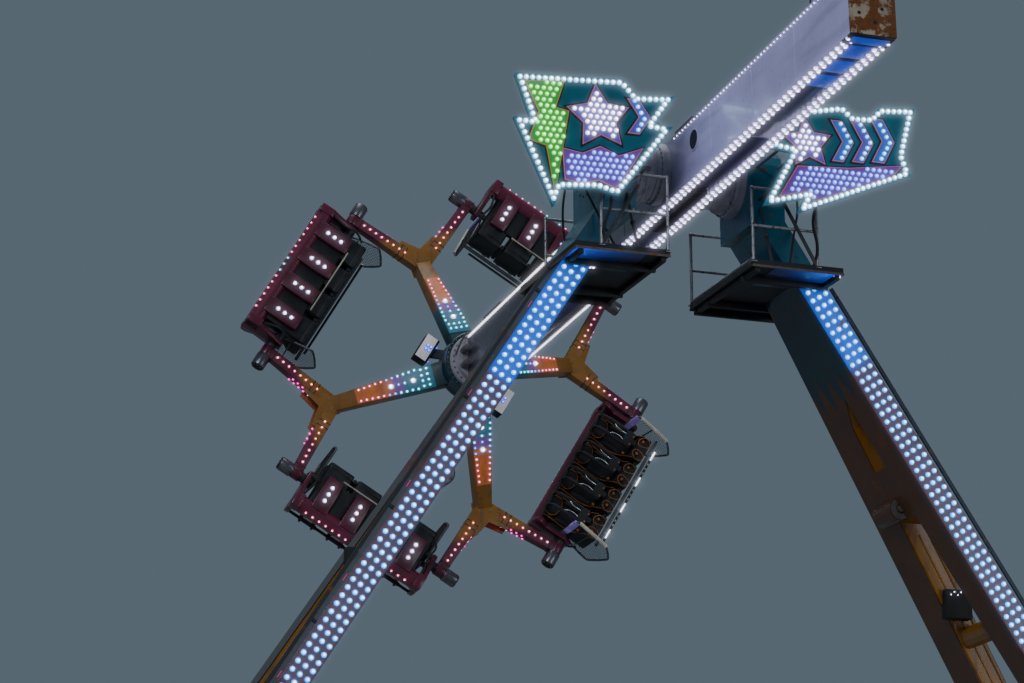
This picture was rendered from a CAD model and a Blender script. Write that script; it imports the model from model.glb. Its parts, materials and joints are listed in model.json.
"""Chair swing ride: leaning lamp-lit legs, a counterweighted arm and a turning spider of seat rows."""
import json
import logging
import math
from collections.abc import Callable, Sequence
from dataclasses import dataclass
from enum import Enum

import bmesh
import bpy
import numpy as np
from mathutils import Matrix, Vector


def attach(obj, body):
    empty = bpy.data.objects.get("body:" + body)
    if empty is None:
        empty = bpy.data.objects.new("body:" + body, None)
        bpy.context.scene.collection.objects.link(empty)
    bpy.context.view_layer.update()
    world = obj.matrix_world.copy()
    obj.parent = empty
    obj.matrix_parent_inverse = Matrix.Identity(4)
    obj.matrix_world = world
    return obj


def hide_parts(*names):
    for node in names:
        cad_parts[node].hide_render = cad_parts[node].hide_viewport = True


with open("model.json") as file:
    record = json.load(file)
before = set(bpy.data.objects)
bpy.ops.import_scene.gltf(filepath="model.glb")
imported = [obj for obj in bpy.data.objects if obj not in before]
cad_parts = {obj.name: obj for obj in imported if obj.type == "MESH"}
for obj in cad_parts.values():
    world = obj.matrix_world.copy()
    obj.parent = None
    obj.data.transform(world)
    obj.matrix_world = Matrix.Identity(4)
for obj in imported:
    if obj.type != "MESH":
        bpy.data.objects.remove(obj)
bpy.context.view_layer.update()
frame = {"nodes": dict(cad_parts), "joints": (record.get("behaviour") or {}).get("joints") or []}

LOG = logging.getLogger("swing_ride")

Point = tuple[float, float, float]
Flat = tuple[float, float]
Colour = tuple[float, float, float]
Stops = tuple[tuple[float, Colour], ...]
Socket = bpy.types.NodeSocket


def joint(name: str) -> dict:
    """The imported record's joint of that name."""
    return next(j for j in frame["joints"] if j["name"] == name)


def local_frame(origin: Vector, x: Vector, y: Vector, z: Vector) -> Matrix:
    """The matrix that takes local coordinates to the ride's own.

    Args:
        origin: the local origin.
        x: the local X axis, as a unit vector.
        y: the local Y axis.
        z: the local Z axis.

    Returns:
        A 4x4 matrix.
    """
    turn = Matrix((x, y, z)).transposed().to_4x4()
    return Matrix.Translation(origin) @ turn


UP = Vector((0.0, 0.0, 1.0))
ACROSS = Vector((1.0, 0.0, 0.0))
BACKWARD = Vector((0.0, 1.0, 0.0))
FORWARD = Vector((0.0, -1.0, 0.0))
PIVOT = Vector(joint("arm_pivot")["pos_m"])
ALONG = Vector(joint("spider_spin")["axis"])
ARM_FRAME = local_frame(PIVOT, ACROSS, ALONG, ACROSS.cross(ALONG))
FIRST_SPOKE = math.radians(104.0)
ROW_AXIS_Y = 9.614
ROWS = range(1, 5)
SEAT_PITCH = 0.53
SEAT_MIDDLES = [(i - 1.5) * SEAT_PITCH for i in range(4)]
SEAT_GAPS = [(a + b) / 2 for a, b in zip(SEAT_MIDDLES, SEAT_MIDDLES[1:])]
LEAN = math.radians(33.0)
SHARP = 0.6
RING_STEPS = 32
LAMP_SIDES = 8
COLLAR_PROFILE = ((0.0, -0.1), (1.28, -0.1), (1.2, 0.3), (0.0, 0.3))
LENS_PROFILE = ((0.0, 0.25), (1.0, 0.25), (0.92, 0.68), (0.6, 1.02), (0.0, 1.02))
CORE_PROFILE = ((0.0, 0.95), (0.64, 0.95), (0.4, 1.14), (0.0, 1.2))
UNSHADED: Colour = (1.0, 1.0, 1.0)
CLOUD_SHADE: Colour = (0.5, 0.5, 0.52)
GRIME: Colour = (0.035, 0.03, 0.027)
RUST_DARK: Colour = (0.055, 0.016, 0.006)
RUST_BRIGHT: Colour = (0.26, 0.085, 0.02)


class Side(Enum):
    """The two halves of the ride, with the sign of their X."""

    LEFT = -1
    RIGHT = 1

    @property
    def label(self) -> str:
        """The side's name as the nodes have it."""
        return self.name.lower()

    @property
    def place(self) -> Matrix:
        """The matrix that takes right-hand coordinates to this side."""
        return Matrix.Diagonal((float(self.value), 1.0, 1.0, 1.0))


class Graph:
    """A material's node tree, with short calls for the nodes that the finishes use."""

    def __init__(self, name: str) -> None:
        """Starts a material of that name with its shader and its place on the object."""
        self.material = bpy.data.materials.new(name)
        self.material.use_nodes = True
        self.tree = self.material.node_tree
        self.shader = self.tree.nodes["Principled BSDF"]
        self.spot = self.node("ShaderNodeTexCoord").outputs["Object"]

    def node(self, kind: str, settings: dict | None = None, inputs: dict | None = None) -> bpy.types.Node:
        """Adds a node.

        Args:
            kind: Blender's name of the node type.
            settings: the node's own options.
            inputs: values or sockets for its inputs, by name or number.

        Returns:
            The node.
        """
        made = self.tree.nodes.new(kind)
        for key, value in (settings or {}).items():
            setattr(made, key, value)
        for key, value in (inputs or {}).items():
            self.feed(made.inputs[key], value)
        return made

    def feed(self, socket: Socket, value: object) -> None:
        """Links a socket to another one, or sets its value."""
        if isinstance(value, bpy.types.NodeSocket):
            self.tree.links.new(value, socket)
        elif socket.type == "RGBA" and len(value) == 3:
            socket.default_value = (*value, 1.0)
        else:
            socket.default_value = value

    def noise(self, scale: float, detail: float = 4.0, where: Socket | None = None) -> Socket:
        """Cloudy noise from 0 to 1, with patches of about 1/scale metres."""
        return self.node("ShaderNodeTexNoise", None, {
            "Vector": where or self.spot, "Scale": scale, "Detail": detail}).outputs["Fac"]

    def stretched(self, scale: Point) -> Socket:
        """The place on the object, scaled along each axis."""
        return self.node("ShaderNodeMapping", None, {"Vector": self.spot, "Scale": scale}).outputs["Vector"]

    def calc(self, what: str, a: object, b: object = 0.0) -> Socket:
        """A sum on two numbers."""
        return self.node("ShaderNodeMath", {"operation": what}, {0: a, 1: b}).outputs[0]

    def reach(self, origin: Vector, axis: Vector) -> Socket:
        """The distance from an origin along an axis."""
        shifted = self.node("ShaderNodeVectorMath", {"operation": "SUBTRACT"},
                            {0: self.spot, 1: origin}).outputs[0]
        return self.node("ShaderNodeVectorMath", {"operation": "DOT_PRODUCT"},
                         {0: shifted, 1: axis}).outputs["Value"]

    def window(self, value: Socket, low: float, high: float) -> Socket:
        """0 below low, 1 above high, and smooth between them."""
        return self.node("ShaderNodeMapRange", {"interpolation_type": "SMOOTHSTEP"},
                         {"Value": value, "From Min": low, "From Max": high}).outputs["Result"]

    def mixed(self, share: object, a: object, b: object, how: str = "MIX") -> Socket:
        """One colour laid over another."""
        made = self.node("ShaderNodeMix", {"data_type": "RGBA", "blend_type": how}, {0: share})
        under, over = (s for s in made.inputs if s.type == "RGBA")
        self.feed(under, a)
        self.feed(over, b)
        return next(s for s in made.outputs if s.type == "RGBA")

    def ramp(self, value: Socket, stops: Stops, sharp: bool) -> Socket:
        """Colours along a value from 0 to 1."""
        made = self.node("ShaderNodeValToRGB", None, {"Fac": value})
        made.color_ramp.interpolation = "CONSTANT" if sharp else "LINEAR"
        elements = made.color_ramp.elements
        elements.remove(elements[1])
        elements[0].position = stops[0][0]
        elements[0].color = (*stops[0][1], 1.0)
        for place, colour in stops[1:]:
            elements.new(place).color = (*colour, 1.0)
        return made.outputs["Color"]

    def set(self, **values: object) -> None:
        """Sets or links the shader's sockets, named with _ for a space."""
        for key, value in values.items():
            self.feed(self.shader.inputs[key.replace("_", " ")], value)

    def relief(self, height: Socket, strength: float, depth: float) -> None:
        """Gives the surface a relief of that depth in metres."""
        self.set(Normal=self.node("ShaderNodeBump", None, {
            "Height": height, "Strength": strength, "Distance": depth}).outputs["Normal"])


@dataclass(frozen=True)
class Bands:
    """Colours that follow each other along a line, from 0 at the origin to 1 at the line's length."""

    origin: Point
    axis: Point
    length: float
    stops: Stops
    sharp: bool = False
    teeth: float = 0.0
    tooth_pitch: float = 0.2

    def colour(self, graph: Graph) -> Socket:
        """The bands as a colour in a material."""
        start = Vector(self.origin)
        value = graph.reach(start, Vector(self.axis).normalized())
        if self.teeth:
            wave = graph.calc("PINGPONG", graph.reach(start, BACKWARD), self.tooth_pitch / 2)
            steep = graph.calc("MULTIPLY", wave, 2 * self.teeth / self.tooth_pitch)
            value = graph.calc("ADD", value, steep)
        return graph.ramp(graph.calc("DIVIDE", value, self.length), self.stops, self.sharp)


@dataclass(frozen=True)
class Paint:
    """Paint on steel that has been on the road: clouded, streaked, scratched and a little rusty."""

    name: str
    colour: Colour
    bands: Bands | None = None
    gloss: float = 0.6
    dirt: float = 0.45
    rust: float = 0.0
    run: Point = (9.0, 9.0, 0.7)
    grain: float = 1.0
    metal: float = 0.0
    shine: float = 0.0
    glow: float = 0.0
    shade: Bands | None = None
    dents: Flat = (0.35, 0.012)

    def build(self) -> bpy.types.Material:
        """The finish as a material."""
        graph = Graph(self.name)
        base = self.bands.colour(graph) if self.bands else self.colour
        if self.shade:
            base = graph.mixed(1.0, base, self.shade.colour(graph), "MULTIPLY")
        clouds = graph.window(graph.noise(1.7 * self.grain, 5.0), 0.3, 0.75)
        shade = graph.mixed(clouds, CLOUD_SHADE, UNSHADED)
        colour = graph.mixed(self.dirt, base, shade, "MULTIPLY")
        runs = graph.window(graph.noise(1.0, 6.0, graph.stretched(self.run)), 0.5, 0.74)
        colour = graph.mixed(graph.calc("MULTIPLY", runs, self.dirt), colour, GRIME)
        specks = graph.noise(16.0 * self.grain, 7.0)
        rough = graph.calc("ADD", graph.calc("MULTIPLY", specks, 0.22), 0.86 - self.gloss)
        if self.rust:
            patches = graph.calc("ADD", graph.noise(3.1 * self.grain, 8.0),
                                 graph.calc("MULTIPLY", graph.noise(21.0 * self.grain, 5.0), 0.25))
            eaten = graph.window(patches, 0.86 - 0.22 * self.rust, 0.92 - 0.2 * self.rust)
            tone = graph.mixed(specks, RUST_DARK, RUST_BRIGHT)
            colour = graph.mixed(eaten, colour, tone)
            rough = graph.calc("ADD", rough, graph.calc("MULTIPLY", eaten, 0.35))
        graph.set(Base_Color=colour, Roughness=rough, Metallic=self.metal)
        if self.shine:
            graph.set(Coat_Weight=self.shine, Coat_Roughness=0.12)
        if self.glow:
            graph.set(Emission_Color=colour, Emission_Strength=self.glow)
        dents = graph.calc("ADD", graph.noise(2.4 * self.grain, 3.0), graph.calc("MULTIPLY", specks, 0.08))
        graph.relief(dents, *self.dents)
        return graph.material


@dataclass(frozen=True)
class Lens:
    """A lamp's lens: lit from within, a little uneven from lamp to lamp."""

    name: str
    colour: Colour
    strength: float

    def build(self) -> bpy.types.Material:
        """The lens as a material."""
        graph = Graph(self.name)
        uneven = graph.window(graph.noise(7.0, 2.0), 0.25, 0.75)
        dim = tuple(0.72 * c for c in self.colour)
        lit = graph.mixed(uneven, dim, self.colour)
        graph.set(Base_Color=dim, Emission_Color=lit, Emission_Strength=self.strength, Roughness=0.3)
        return graph.material


@dataclass(frozen=True)
class Soft:
    """Moulded shell, rubber or vinyl with a fine grain."""

    name: str
    colour: Colour
    rough: float = 0.5
    grain: float = 420.0
    depth: float = 0.0006
    sheen: float = 0.0
    glow: float = 0.0

    def build(self) -> bpy.types.Material:
        """The finish as a material."""
        graph = Graph(self.name)
        worn = graph.window(graph.noise(6.0, 6.0), 0.42, 0.7)
        lighter = tuple(min(1.0, 1.6 * c + 0.008) for c in self.colour)
        colour = graph.mixed(worn, self.colour, lighter)
        graph.set(Base_Color=colour, Sheen_Weight=self.sheen)
        graph.set(Roughness=graph.calc("ADD", graph.calc("MULTIPLY", worn, 0.2), self.rough))
        if self.glow:
            graph.set(Emission_Color=colour, Emission_Strength=self.glow)
        cells = graph.node("ShaderNodeTexVoronoi", None, {"Vector": graph.spot, "Scale": self.grain})
        graph.relief(cells.outputs["Distance"], 0.5, self.depth)
        return graph.material


class Stock:
    """The finishes of the ride, each built once when it is first asked for."""

    def __init__(self) -> None:
        """Starts with no finish built."""
        self.built: dict[str, bpy.types.Material] = {}

    def get(self, finish: Paint | Lens | Soft) -> bpy.types.Material:
        """The material of a finish."""
        if finish.name not in self.built:
            self.built[finish.name] = finish.build()
        return self.built[finish.name]

    def all(self, *finishes: Paint | Lens | Soft) -> list[bpy.types.Material]:
        """The materials of several finishes, in their order."""
        return [self.get(f) for f in finishes]


STOCK = Stock()

TEAL: Colour = (0.018, 0.15, 0.22)
OCHRE: Colour = (0.33, 0.135, 0.012)
BROWN: Colour = (0.14, 0.055, 0.012)
BURGUNDY: Colour = (0.12, 0.007, 0.03)
ORANGE: Colour = (0.55, 0.14, 0.02)
BOARD_BLUE: Colour = (0.01, 0.12, 0.74)
BOARD_BROWN: Colour = (0.13, 0.035, 0.03)
HUB_TEAL: Colour = (0.008, 0.04, 0.055)
MAUVE: Colour = (0.2, 0.06, 0.3)
LAVENDER: Colour = (0.66, 0.58, 1.0)
SMOKE: Colour = (0.09, 0.08, 0.107)
PINK_RIM: Colour = (0.42, 0.15, 0.2)
GOLD_RIM: Colour = (0.42, 0.22, 0.06)
VIOLET_FACE: Colour = (0.06, 0.035, 0.3)
PINK_FACE: Colour = (0.11, 0.02, 0.2)
GREEN_FACE: Colour = (0.02, 0.2, 0.03)
BLUE_FACE: Colour = (0.015, 0.07, 0.36)
ARM_BANDS = Bands(tuple(PIVOT - 6.0 * ALONG), tuple(ALONG), 14.3,
                  ((0.0, LAVENDER), (0.33, LAVENDER), (0.43, (0.2, 0.19, 0.26)), (0.62, SMOKE)))
GLOW_STOPS = ((0.0, (0.02, 0.13, 0.9)), (0.3, (0.008, 0.04, 0.3)), (0.65, (0.003, 0.01, 0.07)),
              (1.0, (0.002, 0.003, 0.012)))

DARK_STEEL = Paint("dark_steel_paint", (0.03, 0.032, 0.036), gloss=0.45, dirt=0.5, rust=0.5, grain=2.0)
BLACK_PAINT = Paint("black_paint_worn", (0.008, 0.008, 0.01), gloss=0.4, rust=0.2, grain=2.5)
LIP_BROWN = Paint("lip_brown", (0.12, 0.095, 0.085), gloss=0.3, dirt=0.5, rust=0.8, grain=3.0)
GALVANISED = Paint("galvanised_tube", (0.36, 0.36, 0.37), gloss=0.5, rust=0.6, metal=0.8, grain=6.0)
RING_STEEL = Paint("bearing_steel", (0.5, 0.46, 0.52), gloss=0.5, dirt=0.4, rust=0.2, metal=0.1, grain=4.0,
                   dents=(0.02, 0.001))
GUARD_TUBE = Paint("guard_tube", (0.12, 0.12, 0.13), gloss=0.5, dirt=0.4, rust=0.3, metal=0.4, grain=6.0)
DRUM_METAL = Paint("drum_aluminium", (0.2, 0.19, 0.21), gloss=0.66, dirt=0.35, metal=0.8, grain=5.0,
                   dents=(0.05, 0.002))
HUB_PAINT = Paint("hub_dark_teal", HUB_TEAL, gloss=0.6, dirt=0.5, rust=0.15, shine=0.3, grain=2.0)
CHROME = Paint("grip_chrome", (0.7, 0.7, 0.72), gloss=0.72, dirt=0.2, metal=1.0, grain=9.0)
ZINC_BOLT = Paint("zinc_bolts", (0.33, 0.33, 0.34), gloss=0.5, dirt=0.4, rust=0.6, metal=0.9, grain=12.0)
TEAL_PAINT = Paint("teal_gloss", TEAL, gloss=0.66, dirt=0.5, rust=0.25, shine=0.4)
OCHRE_STRIP = Paint("ochre_strip", OCHRE, gloss=0.6, dirt=0.4, rust=0.3)
BURGUNDY_PAINT = Paint("burgundy_gloss", BURGUNDY, gloss=0.6, dirt=0.5, rust=0.1, shine=0.25, grain=2.0)
BURGUNDY_TUBE = Paint("burgundy_tube", (0.16, 0.014, 0.042), gloss=0.66, dirt=0.4, shine=0.3, grain=2.0,
                      dents=(0.1, 0.003))
LILAC = Paint("lilac_gloss", LAVENDER, ARM_BANDS, gloss=0.66, dirt=0.3, shine=0.4, run=(0.5, 0.5, 4.0),
              dents=(0.05, 0.002))
CREAM = Paint("cream_paint", (0.6, 0.52, 0.4), gloss=0.5, dirt=0.5, rust=0.3, grain=4.0)
BEIGE = Paint("beige_plate", (0.46, 0.36, 0.25), gloss=0.35, dirt=0.65, rust=1.35, grain=1.6,
              run=(9.0, 9.0, 1.2))
GREY_MOTOR = Paint("motor_grey", (0.13, 0.13, 0.145), gloss=0.55, dirt=0.4, rust=0.2, grain=6.0)
LIT_BLUE = Paint("lit_blue_panel", (0.015, 0.07, 0.6), gloss=0.6, dirt=0.5, grain=2.0, glow=0.6)
FLOOD_FACE = Paint("floodlight_face", (0.72, 0.68, 0.7), gloss=0.6, dirt=0.2, grain=6.0, glow=0.3)
DIM_PURPLE = Paint("purple_panel", (0.06, 0.045, 0.16), gloss=0.6, dirt=0.5, shine=0.3, grain=2.0,
                   dents=(0.1, 0.003))
SIGN_BLUE = Paint("sign_board", (0.01, 0.1, 0.14), gloss=0.6, dirt=0.3, grain=3.0, glow=0.3)
SIGN_LIP = Paint("sign_lip", (0.02, 0.19, 0.3), gloss=0.6, dirt=0.3, grain=5.0, glow=0.25)
STRIP_LIGHT = Lens("light_strip", (0.9, 0.88, 1.0), 3.0)
SIGN_DARK = Paint("sign_outline", (0.012, 0.012, 0.03), gloss=0.5, grain=3.0)
PALE_FLOOR = Paint("pale_floor", (0.4, 0.4, 0.4), gloss=0.2, dirt=0.1)
STEP_LIGHT = Lens("step_light", (0.85, 0.9, 1.0), 3.5)
MARKER = Lens("leg_marker", (0.75, 0.015, 0.3), 0.8)
VINYL = Soft("seat_shell_black", (0.006, 0.006, 0.008), 0.42)
CUSHION = Soft("seat_cushion_black", (0.008, 0.008, 0.01), 0.62, 260.0, 0.0012, 0.15)
PIPING = Soft("orange_piping", (0.36, 0.11, 0.012), 0.45, 900.0)
RUBBER = Soft("black_rubber", (0.012, 0.012, 0.013), 0.7, 500.0)
PAD_CREAM = Soft("cream_padding", (0.6, 0.53, 0.42), 0.55, 240.0, 0.0012, 0.2)
PAD_VIOLET = Soft("violet_padding", (0.22, 0.16, 0.5), 0.5, 240.0, 0.0012, 0.2, 0.15)


class Lamp(Enum):
    """The lamps' colours: the lens's rim and its core, with their strengths."""

    WHITE = ((0.62, 0.6, 1.0), 2.6, (0.97, 0.95, 1.0), 8.0)
    ICE = ((0.05, 0.35, 1.0), 2.2, (0.35, 0.72, 1.0), 5.0)
    CYAN = ((0.04, 0.62, 0.9), 2.0, (0.6, 1.0, 1.0), 4.5)
    PINK = ((1.0, 0.1, 0.32), 1.8, (1.0, 0.66, 0.78), 4.5)
    MAGENTA = ((1.0, 0.01, 0.42), 2.4, (1.0, 0.35, 0.8), 3.5)
    PALE = ((0.25, 0.7, 1.0), 1.8, (0.95, 1.0, 1.0), 7.0)
    GREEN = ((0.1, 0.8, 0.06), 1.8, (0.4, 1.0, 0.35), 4.0)
    BLUE = ((0.01, 0.06, 1.0), 2.4, (0.1, 0.36, 1.0), 4.5)
    VIOLET = ((0.1, 0.2, 1.0), 2.0, (0.28, 0.5, 1.0), 3.2)
    WARM = ((1.0, 0.12, 0.12), 1.8, (1.0, 0.72, 0.68), 4.0)

    @property
    def finishes(self) -> list[bpy.types.Material]:
        """The materials of the collar, which the lens lights, of the lens's rim and of its core."""
        rim, rim_strength, core, core_strength = self.value
        name = self.name.lower()
        shadow = tuple(0.35 * c for c in rim)
        collar = Paint(f"collar_{name}", shadow, gloss=0.6, dirt=0.2, grain=20.0, glow=0.5)
        return STOCK.all(collar, Lens(f"rim_{name}", rim, rim_strength),
                         Lens(f"core_{name}", core, core_strength))


class Shape:
    """One piece in the making. Forms are added in a local frame, in the finish that is set."""

    def __init__(self, place: Matrix | None = None) -> None:
        """Starts an empty piece in a local frame, or in the ride's own."""
        self.mesh = bmesh.new()
        self.place = place or Matrix()
        self.finish = 0

    def _add(self, form: bmesh.types.BMesh, bevel: float = 0.0, segments: int = 2) -> None:
        """Rounds a form's sharp edges, gives it the set finish and adds it to the piece."""
        if bevel > 0:
            sharp = [e for e in form.edges if e.calc_face_angle(0.0) > SHARP]
            bmesh.ops.bevel(form, geom=sharp, offset=bevel, offset_type="OFFSET", affect="EDGES",
                            segments=segments, profile=0.5, material=-1, clamp_overlap=True)
        for one in form.faces:
            one.material_index = self.finish
        mesh = bpy.data.meshes.new("form")
        form.to_mesh(mesh)
        form.free()
        self._take(mesh)

    def _take(self, mesh: bpy.types.Mesh) -> None:
        """Adds a mesh with its own finishes and removes it from the file."""
        self.mesh.from_mesh(mesh)
        bpy.data.meshes.remove(mesh)

    def box(self, low: Point, high: Point, bevel: float = 0.004, segments: int = 2) -> None:
        """A block between its lowest and its highest corner."""
        low_v, high_v = Vector(low), Vector(high)
        size = Matrix.Diagonal((*(high_v - low_v), 1.0))
        form = bmesh.new()
        bmesh.ops.create_cube(form, size=1.0, matrix=Matrix.Translation((low_v + high_v) / 2) @ size)
        self._add(form, bevel, segments)

    def pad(self, low: Point, high: Point, soft: float = 0.4, cuts: int = 5) -> None:
        """A crowned cushion between two corners.

        Args:
            low: its lowest corner.
            high: its highest corner.
            soft: how far it goes from a block, at 0, to an egg, at 1.
            cuts: how finely it is divided.
        """
        low_v, high_v = Vector(low), Vector(high)
        middle, half = (low_v + high_v) / 2, (high_v - low_v) / 2
        form = bmesh.new()
        bmesh.ops.create_cube(form, size=2.0)
        bmesh.ops.subdivide_edges(form, edges=form.edges, cuts=cuts, use_grid_fill=True)
        for vert in form.verts:
            x, y, z = (c * c for c in vert.co)
            ball = (math.sqrt(1 - y / 2 - z / 2 + y * z / 3), math.sqrt(1 - z / 2 - x / 2 + z * x / 3),
                    math.sqrt(1 - x / 2 - y / 2 + x * y / 3))
            eased = [c * (1 - soft + soft * b) for c, b in zip(vert.co, ball)]
            vert.co = middle + Vector([e * h for e, h in zip(eased, half)])
        self._add(form)

    def rod(self, start: Point, end: Point, radius: float, sides: int = 12, bevel: float = 0.0) -> None:
        """A round bar.

        Args:
            start: the middle of one end.
            end: the middle of the other.
            radius: its radius.
            sides: how many sides stand for the round.
            bevel: the rounding of its rims.
        """
        a, b = Vector(start), Vector(end)
        turn = (b - a).to_track_quat("Z", "Y").to_matrix().to_4x4()
        form = bmesh.new()
        bmesh.ops.create_cone(form, cap_ends=True, cap_tris=False, segments=sides, radius1=radius,
                              radius2=radius, depth=(b - a).length,
                              matrix=Matrix.Translation((a + b) / 2) @ turn)
        self._add(form, bevel)

    def beam(self, start: Point, end: Point, across: Point, size: Flat, end_size: Flat | None = None,
             bevel: float = 0.006) -> None:
        """A four-sided bar that may taper.

        Args:
            start: the middle of one end.
            end: the middle of the other.
            across: the way in which its width runs.
            size: its width and depth at the start.
            end_size: its width and depth at the end, if they differ.
            bevel: the rounding of its edges.
        """
        a, b = Vector(start), Vector(end)
        axis = (b - a).normalized()
        wide = Vector(across)
        wide = (wide - axis * wide.dot(axis)).normalized()
        deep = axis.cross(wide)
        form = bmesh.new()
        for middle, (width, depth) in ((a, size), (b, end_size or size)):
            for i, j in ((-1, -1), (1, -1), (1, 1), (-1, 1)):
                form.verts.new(middle + wide * (i * width / 2) + deep * (j * depth / 2))
        bmesh.ops.convex_hull(form, input=form.verts)
        bmesh.ops.dissolve_limit(form, angle_limit=0.02, verts=form.verts, edges=form.edges)
        bmesh.ops.recalc_face_normals(form, faces=form.faces)
        self._add(form, bevel)

    def slab(self, outline: Sequence[Point], depth: Point, bevel: float = 0.0) -> None:
        """A flat outline pushed out to a plate.

        Args:
            outline: the corners, in order.
            depth: which way and how far it is pushed.
            bevel: the rounding of its edges.
        """
        form = bmesh.new()
        face = form.faces.new([form.verts.new(p) for p in outline])
        made = bmesh.ops.extrude_face_region(form, geom=[face], use_keep_orig=True)
        moved = [g for g in made["geom"] if isinstance(g, bmesh.types.BMVert)]
        bmesh.ops.translate(form, verts=moved, vec=depth)
        bmesh.ops.recalc_face_normals(form, faces=form.faces)
        self._add(form, bevel)

    def _spun(self, corners: Sequence[Flat], loop: bool, centre: Point, axis: Point, steps: int) -> None:
        """Spins a line of (radius, height) corners about an axis and adds the form."""
        along = Vector(axis).normalized()
        out = along.orthogonal().normalized()
        middle = Vector(centre)
        form = bmesh.new()
        verts = [form.verts.new(middle + out * r + along * h) for r, h in corners]
        pairs = zip(verts, verts[1:] + (verts[:1] if loop else []))
        edges = [form.edges.new(pair) for pair in pairs]
        bmesh.ops.spin(form, geom=verts + edges, cent=middle, axis=along, dvec=(0, 0, 0),
                       angle=2 * math.pi, steps=steps, use_merge=True, use_duplicate=False)
        bmesh.ops.remove_doubles(form, verts=form.verts, dist=1e-5)
        bmesh.ops.recalc_face_normals(form, faces=form.faces)
        self._add(form)

    def turned(self, profile: Sequence[Flat], centre: Point, axis: Point, steps: int = 48) -> None:
        """A profile spun about an axis.

        Args:
            profile: points of (radius, height along the axis), from the axis to the axis.
            centre: the point of the axis at height 0.
            axis: the axis's direction.
            steps: how many steps the full turn has.
        """
        self._spun(profile, False, centre, axis, steps)

    def ring(self, centre: Point, axis: Point, inner: float, outer: float, width: float) -> None:
        """A ring of rectangular section.

        Args:
            centre: the ring's middle.
            axis: its axis.
            inner: its inner radius.
            outer: its outer radius.
            width: its width along the axis.
        """
        half = width / 2
        section = [(inner, -half), (outer, -half), (outer, half), (inner, half)]
        self._spun(section, True, centre, axis, RING_STEPS)

    def pipes(self, runs: Sequence[Sequence[Point]], radius: float, closed: bool = False,
              round_steps: int = 2, bend_steps: int = 5) -> None:
        """Smooth tubes through points.

        Args:
            runs: the points of each tube.
            radius: the tubes' radius.
            closed: whether each tube is a loop.
            round_steps: the tubes' roundness.
            bend_steps: the steps between two points.
        """
        curve = bpy.data.curves.new("run", "CURVE")
        curve.dimensions = "3D"
        curve.bevel_depth = radius
        curve.bevel_resolution = round_steps
        curve.use_fill_caps = True
        curve.resolution_u = bend_steps
        for run in runs:
            spline = curve.splines.new("BEZIER")
            spline.bezier_points.add(len(run) - 1)
            spline.use_cyclic_u = closed
            for knot, place in zip(spline.bezier_points, run):
                knot.co = place
                knot.handle_left_type = knot.handle_right_type = "AUTO"
        holder = bpy.data.objects.new("run", curve)
        form = bmesh.new()
        mesh = bpy.data.meshes.new_from_object(holder)
        form.from_mesh(mesh)
        bpy.data.meshes.remove(mesh)
        bpy.data.objects.remove(holder)
        bpy.data.curves.remove(curve)
        bmesh.ops.remove_doubles(form, verts=form.verts, dist=1e-5)
        bmesh.ops.recalc_face_normals(form, faces=form.faces)
        self._add(form)

    def mesh_panel(self, outline: Sequence[Flat], x: float, cell: float, wire: float) -> None:
        """Diamond wire mesh in a convex outline of (y, z), at one X.

        Args:
            outline: the corners, in order.
            x: where the panel stands.
            cell: the mesh's width.
            wire: the wires' thickness.
        """
        corners = [Vector((x, y, z)) for y, z in outline]
        middle = sum(corners, Vector()) / len(corners)
        reach = max((c - middle).length for c in corners)
        upright = Matrix.Rotation(math.pi / 2, 4, "Y") @ Matrix.Rotation(math.pi / 4, 4, "Z")
        form = bmesh.new()
        count = int(2 * reach / cell)
        bmesh.ops.create_grid(form, x_segments=count, y_segments=count, size=reach,
                              matrix=Matrix.Translation(middle) @ upright)
        for a, b in zip(corners, corners[1:] + corners[:1]):
            out = (b - a).cross(ACROSS)
            if out.dot(a - middle) < 0:
                out.negate()
            everything = form.verts[:] + form.edges[:] + form.faces[:]
            bmesh.ops.bisect_plane(form, geom=everything, plane_co=a, plane_no=out, clear_outer=True)
        bmesh.ops.wireframe(form, faces=form.faces, thickness=wire, use_replace=True, use_boundary=True)
        self._add(form)

    def strewn(self, build: Callable[["Shape"], None], places: Sequence[Matrix]) -> None:
        """Copies of a small form, each at a place of its own, in finishes from the set one on.

        Args:
            build: fills an empty shape with the form.
            places: where the copies stand.
        """
        pattern = Shape()
        build(pattern)
        template = bpy.data.meshes.new("template")
        pattern.mesh.to_mesh(template)
        pattern.mesh.free()
        corners = np.array([tuple(v.co) for v in template.vertices])
        turns = np.array([[list(row) for row in m] for m in places])
        points = np.einsum("nij,vj->nvi", turns[:, :3, :3], corners) + turns[:, None, :3, 3]
        faces = [tuple(f.vertices) for f in template.polygons]
        many = [tuple(i + n * len(corners) for i in f) for n in range(len(places)) for f in faces]
        mesh = bpy.data.meshes.new("strewn")
        mesh.from_pydata(points.reshape(-1, 3).tolist(), [], many)
        kinds = [f.material_index + self.finish for f in template.polygons] * len(places)
        mesh.polygons.foreach_set("material_index", kinds)
        self._take(mesh)
        bpy.data.meshes.remove(template)

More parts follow.
